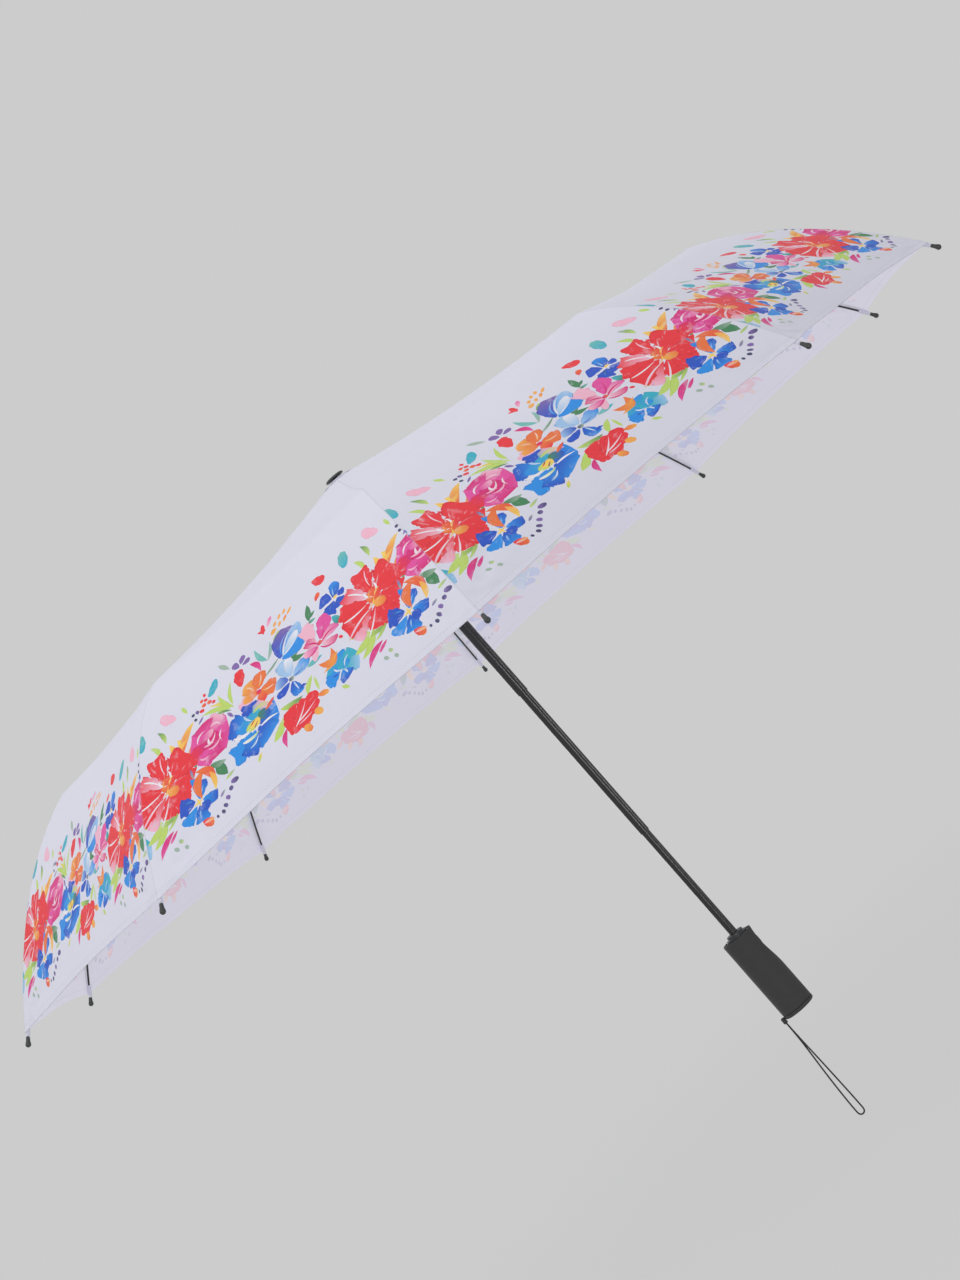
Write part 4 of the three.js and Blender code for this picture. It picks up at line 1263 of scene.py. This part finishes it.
class UMBRELLA_OT_outer_rods(bpy.types.Operator):
    """Adds the sprung outer rods with their bullet sleeves, tip pockets and bead tips"""

    bl_idname = "umbrella.outer_rods"
    bl_label = "Outer rods"

    def execute(self, context):
        radius = context.scene.umbrella_metal.rod_radius / MM
        finishes = [
            finish_of("black_enamel", enamel_finish), finish_of("black_plastic", plastic_finish),
            finish_of("canopy_cloth", cloth_finish),
        ]
        steps = np.linspace(0.02, 0.985, 40)
        sleeve = [(0.0, 1.1), (0.004, 1.45), (0.012, 1.5), (0.05, 1.5), (0.056, 1.4), (0.064, 1.15), (0.07, 0.95)]
        pocket = [(0.93, 1.1), (0.934, 1.75), (0.95, 1.9), (0.972, 1.85), (0.975, 1.1)]
        bead = [(0.9745, 0.95), (0.9765, 1.45), (0.982, 1.6), (0.990, 1.75), (0.995, 2.1), (1.0, 2.3)]
        tip, ahead = on_rod(1.0), on_rod(1.0) - on_rod(0.99)
        ahead /= np.linalg.norm(ahead)
        for rib in range(RIBS):
            shape = Shape()
            shape.rod([on_rod(t) for t in steps], radius, 16, 0)
            shape.rod([on_rod(t) for t, _ in sleeve], [r for _, r in sleeve], 20, 0)
            shape.rod([on_rod(t) for t, _ in pocket], [r for _, r in pocket], 20, 2)
            path, radii = [on_rod(t) for t, _ in bead], [r for _, r in bead]
            for angle in np.linspace(0.2, math.pi / 2 - 0.08, 7):
                path.append(tip + ahead * 2.3 * math.sin(angle))
                radii.append(2.3 * math.cos(angle))
            shape.rod(path, radii, 24, 1)
            self.tongue(shape)
            shape.moved(spun(rib))
            piece = shape.piece(f"outer_rod_{rib}", finishes, 40)
            mark_cloth(piece, 40, 500, 300)
            settle(piece, f"outer_rib_{rib}", "black_enamel", f"outer_rib_{rib}")
        return {"FINISHED"}

    def tongue(self, shape):
        """Flat hinge tongue with a round eye, from the pivot into the sleeve"""
        level = ROD_START[1] - OUTER_PIVOT[1]
        outline = [(6, level - 0.9), (6, level + 1.2), (1.6, level + 1.2)]
        outline += [(1.5 * math.cos(a), 1.5 * math.sin(a)) for a in np.radians(np.linspace(20, 215, 14))]
        outline += [(0.2, level - 0.9)] if level > 0 else []
        base = np.array([(OUTER_PIVOT[0] + x, OUTER_PIVOT[1] + z) for x, z in outline])
        count = len(base)
        points = [(x, y, z) for y in (-0.5, 0.5) for x, z in base]
        faces = [tuple(range(count))[::-1], tuple(range(count, 2 * count))]
        faces += [(k, (k + 1) % count, (k + 1) % count + count, k + count) for k in range(count)]
        shape.add(points, faces, 0)


class UMBRELLA_OT_ribs(bpy.types.Operator):
    """Finishes the folding ribs and stretchers, and adds their rivets and thread ties"""

    bl_idname = "umbrella.ribs"
    bl_label = "Ribs and stretchers"

    def execute(self, context):
        radius = context.scene.umbrella_metal.rivet_radius / MM
        enamel, nickel = finish_of("black_enamel", enamel_finish), finish_of("nickel", nickel_finish)
        thread = finish_of("thread", thread_finish)
        for rib in range(RIBS):
            for kind in ("inner_rib", "mid_rib", "stretcher"):
                refinish(f"{kind}_{rib}", enamel)
            inner = Shape()
            for y, side in ((1.3, 1), (-1.3, -1)):
                rivet_head(inner, INNER_PIVOT, y, side, radius, 0)
            rivet_head(inner, STRETCHER_PIVOT, 3.0, 1, radius, 0)
            rivet_head(inner, STRETCHER_PIVOT, -1.3, -1, radius, 0)
            settle(inner.moved(spun(rib)).piece(f"inner_rivets_{rib}", [nickel]), f"inner_rib_{rib}", "spring_steel")
            middle = Shape()
            for y, side in ((1.3, 1), (-1.3, -1)):
                rivet_head(middle, OUTER_PIVOT, y, side, radius, 0)
            settle(middle.moved(spun(rib)).piece(f"mid_rivets_{rib}", [nickel]), f"mid_rib_{rib}", "spring_steel")
            ties = Shape()
            for share in (0.3, 0.7):
                at = INNER_END * (1 - share) + MID_END * share
                self.tie(ties, at, MID_ANGLE, 1.55, 1.8)
            settle(ties.moved(spun(rib)).piece(f"mid_ties_{rib}", [thread], 60), f"mid_rib_{rib}", "canopy_fabric")
            ties = Shape()
            for share in (0.33, 0.66):
                at, after = on_rod(share), on_rod(share + 0.01)
                angle = math.atan2(after[2] - at[2], after[0] - at[0])
                self.tie(ties, at[[0, 2]], angle, 1.1, 1.25)
            piece = ties.moved(spun(rib)).piece(f"outer_ties_{rib}", [thread], 60)
            settle(piece, f"outer_rib_{rib}", "canopy_fabric")
        return {"FINISHED"}

    def tie(self, shape, at, angle, wide, high):
        """Three turns of thread round a rib at a point of its plane"""
        path = []
        for turn in np.linspace(0, 3, 61):
            around = 2 * math.pi * turn
            along, up = (turn - 1.5) * 0.45, high * math.sin(around)
            x = at[0] + along * math.cos(angle) - up * math.sin(angle)
            z = at[1] + along * math.sin(angle) + up * math.cos(angle)
            path.append((x, wide * math.cos(around), z))
        shape.rod(path, 0.2, 6)


def refinish(name, finish):
    """Gives a frame node a detailed material."""
    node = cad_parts[name]
    if not node.material_slots:
        node.data.materials.append(finish)
    for material_slot in node.material_slots:
        material_slot.material = finish


def thread_finish(finish):
    """Pale sewing thread, twisted"""
    colours = bpy.context.scene.umbrella_cloth
    place = finish.place()
    twist = finish.noise(place, 3200.0, 2.0)
    base = finish.mix(twist, tuple(0.6 * c for c in colours.outside), colours.outside)
    return finish.set(Base_Color=base, Roughness=0.75, Normal=finish.bump(twist, 0.00005, 0.6))


# Shaft and hubs


def groove(half_angle, depth=0.5):
    """The pressed groove along a shaft tube, as a share of the radius by angle"""

    def squeeze(angle, height, radius):
        off = abs((angle - GROOVE_AZIMUTH + math.pi) % (2 * math.pi) - math.pi)
        if off >= half_angle:
            return 1.0
        return 1 - depth * (0.5 + 0.5 * math.cos(math.pi * off / half_angle)) / radius

    return squeeze


class UMBRELLA_OT_shaft(bpy.types.Operator):
    """Adds the three telescoping tubes with their pressed grooves and rolled ends"""

    bl_idname = "umbrella.shaft"
    bl_label = "Shaft"

    def execute(self, context):
        tubes = [
            ("shaft_bottom", "handle", "bottom_tube", 3.75, -21.7, 179.0, 19),
            ("shaft_middle", "middle_shaft", "middle_tube", 4.4, 157.0, 335.0, 14),
            ("shaft_top", "head", "top_tube", 5.1, 313.0, 547.7, 10),
        ]
        for name, body, node, radius, low, high, half_angle in tubes:
            inner = radius - 0.4
            profile = [
                (inner, low + 0.15), (inner + 0.12, low), (radius - 0.12, low), (radius, low + 0.12),
                (radius, low + 2.0), (radius, high - 2.0), (radius, high - 0.12), (radius - 0.12, high),
                (inner + 0.12, high), (inner, high - 0.15), (inner, low + 0.15),
            ]
            shape = Shape().turned(profile, 120, squeeze=groove(math.radians(half_angle)))
            piece = shape.piece(name, [finish_of("black_enamel", enamel_finish)], 30)
            settle(piece, body, "black_enamel", node)
        return {"FINISHED"}


class UMBRELLA_OT_hubs(bpy.types.Operator):
    """Finishes the crown and runner, and adds the cap, the hinge wires and the spring"""

    bl_idname = "umbrella.hubs"
    bl_label = "Crown, runner and cap"

    def execute(self, context):
        plastic, nickel = finish_of("black_plastic", plastic_finish), finish_of("nickel", nickel_finish)
        refinish("crown", plastic)
        refinish("runner", plastic)
        low, top = APEX_Z + 0.3, APEX_Z + 2.5
        cap = [(0, CROWN_HINGE_Z + 5.4), (2, CROWN_HINGE_Z + 5.4), (2, low), (9, low), (9, top - 1.0)]
        cap += [(7.8, top - 0.25), (6.0, top - 0.1), (5.6, top - 0.3), (5.2, top - 0.1), (0, top)]
        piece = Shape().turned(rounded(cap, 0.3), 96).piece("cap", [plastic])
        settle(piece, "head", "black_plastic", "top_cap")
        self.ring("crown_wire", "head", 9.5, CROWN_HINGE_Z, nickel)
        self.ring("runner_wire", "runner", 9.0, CROWN_HINGE_Z - 72.1, nickel)
        turns, low, high = 6, 477.4, 538.5
        path = []
        for share in np.linspace(0, 1, turns * 40 + 1):
            angle = share * turns * 2 * math.pi
            path.append((6.2 * math.cos(angle), 6.2 * math.sin(angle), low + (high - low) * share))
        piece = Shape().rod(path, 0.5, 12).piece("opening_spring", [nickel])
        settle(piece, "head", "spring_steel", "closing_spring")
        return {"FINISHED"}

    def ring(self, name, body, radius, level, finish):
        angles = np.linspace(0, 2 * math.pi, 80, endpoint=False)
        path = [(radius * math.cos(a), radius * math.sin(a), level) for a in angles]
        settle(Shape().rod(path, 0.3, 10, closed=True).piece(name, [finish]), body, "spring_steel")


# Handle

SPRING_SEAT = 6.1


class UMBRELLA_OT_grip(bpy.types.Operator):
    """Adds the soft grip with its thumb scoop, button well, collar and end cap"""

    bl_idname = "umbrella.grip"
    bl_label = "Grip"

    def execute(self, context):
        rubber, plastic = finish_of("soft_grip", rubber_finish), finish_of("black_plastic", plastic_finish)
        low, high = HANDLE_END_Z + 3.7, GRIP_TOP_Z
        profile = [(12.2, low), (14.8, low), (15.1, low + 0.12), (GRIP_RADIUS, low + 0.45)]
        profile += [(GRIP_RADIUS, z) for z in np.linspace(low + 1.5, 8, 18)]
        profile += [(GRIP_RADIUS, z) for z in np.arange(8.8, high - 0.9, 0.55)]
        profile += [(GRIP_RADIUS - 0.05, high - 0.6), (GRIP_RADIUS - 0.2, high - 0.3)]
        profile += [(GRIP_RADIUS - 0.45, high - 0.1), (GRIP_RADIUS - 0.8, high), (12.2, high), (12.2, low)]
        shape = Shape().turned(profile, 180, squeeze=self.scooped)
        settle(shape.piece("grip_sleeve", [rubber], 40), "handle", "soft_grip", "grip")
        end = [(0, -40), (GRIP_RADIUS - 1, -40), (GRIP_RADIUS, -39), (GRIP_RADIUS, -36.6), (11.9, -36.6)]
        end += [(11.9, -32.6), (0, -32.6)]
        lug = [(0, -42.4), (1.4, -42.4), (2, -41.8), (2, -37.4), (1.2, -36.6), (0, -36.6)]
        shape = Shape().turned(rounded(end, 0.5), 120).turned(rounded(lug, 0.4), 40, centre=(0, -16.9))
        settle(shape.piece("end_plug", [rubber]), "handle", "soft_grip", "end_cap")
        bore, top = 4.05, GRIP_TOP_Z
        collar = [(bore, top - 0.3), (10.4, top - 0.3), (10.4, top + 1.2), (8.2, top + 1.6), (8.2, top + 3.4)]
        collar += [(7.6, top + 4), (bore, top + 4), (bore, top - 0.3)]
        piece = Shape().turned(rounded(collar, 0.25), 96).piece("collar", [plastic])
        settle(piece, "handle", "black_plastic", "handle_collar")
        refinish("handle_core", plastic)
        return {"FINISHED"}

    def scooped(self, angle, height, radius):
        """Share of the radius left by the thumb scoop and the button's well"""
        if radius < 14 or math.sin(angle) <= 0.05:
            return 1.0
        above, below = (height - BUTTON_Z) / 13, min(1.0, (BUTTON_Z - height) / 31)
        depth = 2.6 - 1.3 * above**2 if above > 0 else 1.3 + 1.3 * math.cos(math.pi * below)
        limit = (GRIP_RADIUS - depth) / math.sin(angle)
        soft = max(0.0, min(1.0, 0.5 + 0.5 * (radius - limit) / 0.5))
        left = radius * (1 - soft) + limit * soft - 0.25 * soft * (1 - soft)
        off = math.hypot(left * math.cos(angle), height - BUTTON_Z)
        well = max(0.0, min(1.0, (5.25 - off) / 0.45))
        return (left - 2.0 * well * well * (3 - 2 * well)) / radius


class UMBRELLA_OT_button(bpy.types.Operator):
    """Adds the push button with its finger ring, on its spring"""

    bl_idname = "umbrella.button"
    bl_label = "Push button"

    def execute(self, context):
        face = [(0, 9.0), (4.6, 9.0), (4.6, 12.75), (4.2, 13.08), (3.5, 13.2), (3.2, 13.02), (2.9, 13.2), (0, 13.33)]
        turn = Matrix.Translation((0, 0, BUTTON_Z)) @ Matrix.Rotation(-math.pi / 2, 4, "X")
        shape = Shape().turned(rounded(face, 0.2), 72).moved(turn)
        piece = shape.piece("button_cap", [finish_of("black_plastic", plastic_finish)])
        settle(piece, "button", "black_plastic", "push_button")
        coil = []
        for share in np.linspace(0, 1, 121):
            angle = share * 3 * 2 * math.pi
            coil.append((2.6 * math.cos(angle), SPRING_SEAT + 0.3 + 2.0 * share, BUTTON_Z + 2.6 * math.sin(angle)))
        spring = Shape().rod(coil, 0.28, 10).piece("button_coil", [finish_of("nickel", nickel_finish)])
        settle(spring, "handle", "spring_steel", "button_spring")
        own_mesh(spring)
        return {"FINISHED"}


# Stage


def floor_finish(finish):
    """Pale matt floor that fades into the plain surroundings and is clear from below"""
    grey = tuple(bpy.context.scene.umbrella_stage.grey)
    place = finish.place()
    x, y, _ = finish.parts(place)
    away = ((x * x + y * y) ** 0.5).between(0.45, 1.3)
    mottle = finish.noise(place, 6.0, 3.0)
    near = finish.mix(mottle * 0.5, (0.10, 0.10, 0.10), (0.108, 0.108, 0.108))
    base = finish.mix(away, near, (0.0, 0.0, 0.0))
    glow = finish.mix(away, tuple(0.86 * c for c in grey), grey)
    finish.clear_behind()
    return finish.set(
        Base_Color=base, Emission_Color=glow, Emission_Strength=1.0, Roughness=1.0, Specular_IOR_Level=0.0
    )


class UMBRELLA_OT_stage(bpy.types.Operator):
    """Adds the plain pale floor, the even surroundings and the soft lights"""

    bl_idname = "umbrella.stage"
    bl_label = "Stage"

    def execute(self, context):
        settings = context.scene.umbrella_stage
        level = CAD_LOW[2] / MM - 0.5
        rings = [9000, 3500, 2000, 1200, 700, 300, 0]
        shape = Shape().turned([(r, level) for r in rings], 72)
        floor = shape.piece("floor", [finish_of("floor", floor_finish)])
        world = context.scene.world or bpy.data.worlds.new("surroundings")
        context.scene.world = world
        world.use_nodes = True
        world.node_tree.nodes["Background"].inputs[0].default_value = (*settings.grey, 1)
        context.scene.view_settings.view_transform = "Standard"
        context.scene.view_settings.look = "None"
        self.light("key", (1.5, -1.1, 2.0), (0, 0, 0.4), 2.0, settings.key)
        self.light("top", (-0.3, 0.3, 2.4), (0, 0, 0.5), 2.0, settings.key * 0.5)
        self.light("gloss", (1.57, 0.27, 0.25), (0, 0, 0.25), 0.16, settings.key * 0.35, 0.74)
        self.light("gloss_behind", (-1.3, -0.7, 0.25), (0, 0, 0.25), 0.62, settings.key * 0.3, 0.74)
        return {"FINISHED"}

    def light(self, name, place, aim, size, power, height=None):
        """An area light: round, or an upright panel that only shows as gloss when it has a height"""
        data = bpy.data.lights.new(name, "AREA")
        data.shape, data.size, data.size_y, data.energy = "DISK", size, size, power
        made = bpy.data.objects.new(name, data)
        made.visible_camera = False
        if height:
            data.shape, data.size_y = "RECTANGLE", height
            made.visible_diffuse = made.visible_transmission = False
        made.location = place
        made.rotation_euler = (Vector(aim) - Vector(place)).to_track_quat("-Z", "Y").to_euler()
        bpy.context.scene.collection.objects.link(made)


# Panel and registration

SETTINGS = {
    "umbrella_cloth": UmbrellaCloth,
    "umbrella_metal": UmbrellaMetal,
    "umbrella_handle": UmbrellaHandle,
    "umbrella_stage": UmbrellaStage,
}
OPERATORS = [
    UMBRELLA_OT_camera, UMBRELLA_OT_wrist_loop, UMBRELLA_OT_canopy, UMBRELLA_OT_canopy_centre,
    UMBRELLA_OT_outer_rods, UMBRELLA_OT_ribs, UMBRELLA_OT_shaft, UMBRELLA_OT_hubs, UMBRELLA_OT_grip,
    UMBRELLA_OT_button, UMBRELLA_OT_stage,
]


class UMBRELLA_PT_sidebar(bpy.types.Panel):
    """Lists the umbrella's pieces and their sizes and colours"""

    bl_idname = "UMBRELLA_PT_sidebar"
    bl_label = "Folding umbrella"
    bl_space_type = "VIEW_3D"
    bl_region_type = "UI"
    bl_category = "Umbrella"

    def draw(self, context):
        pieces = self.layout.column(align=True)
        for operator in OPERATORS:
            pieces.operator(operator.bl_idname)
        for name, group in SETTINGS.items():
            box = self.layout.box()
            box.label(text=group.__doc__)
            for key in group.__annotations__:
                box.prop(getattr(context.scene, name), key)


def register():
    for item in (*SETTINGS.values(), *OPERATORS, UMBRELLA_PT_sidebar):
        bpy.utils.register_class(item)
    for name, group in SETTINGS.items():
        setattr(bpy.types.Scene, name, bpy.props.PointerProperty(type=group))


def unregister():
    for name in SETTINGS:
        delattr(bpy.types.Scene, name)
    for item in (UMBRELLA_PT_sidebar, *OPERATORS[::-1], *SETTINGS.values()):
        bpy.utils.unregister_class(item)


def main():
    register()
    for operator in OPERATORS:
        getattr(bpy.ops.umbrella, operator.bl_idname.split(".")[1])()


if __name__ == "__main__":
    main()
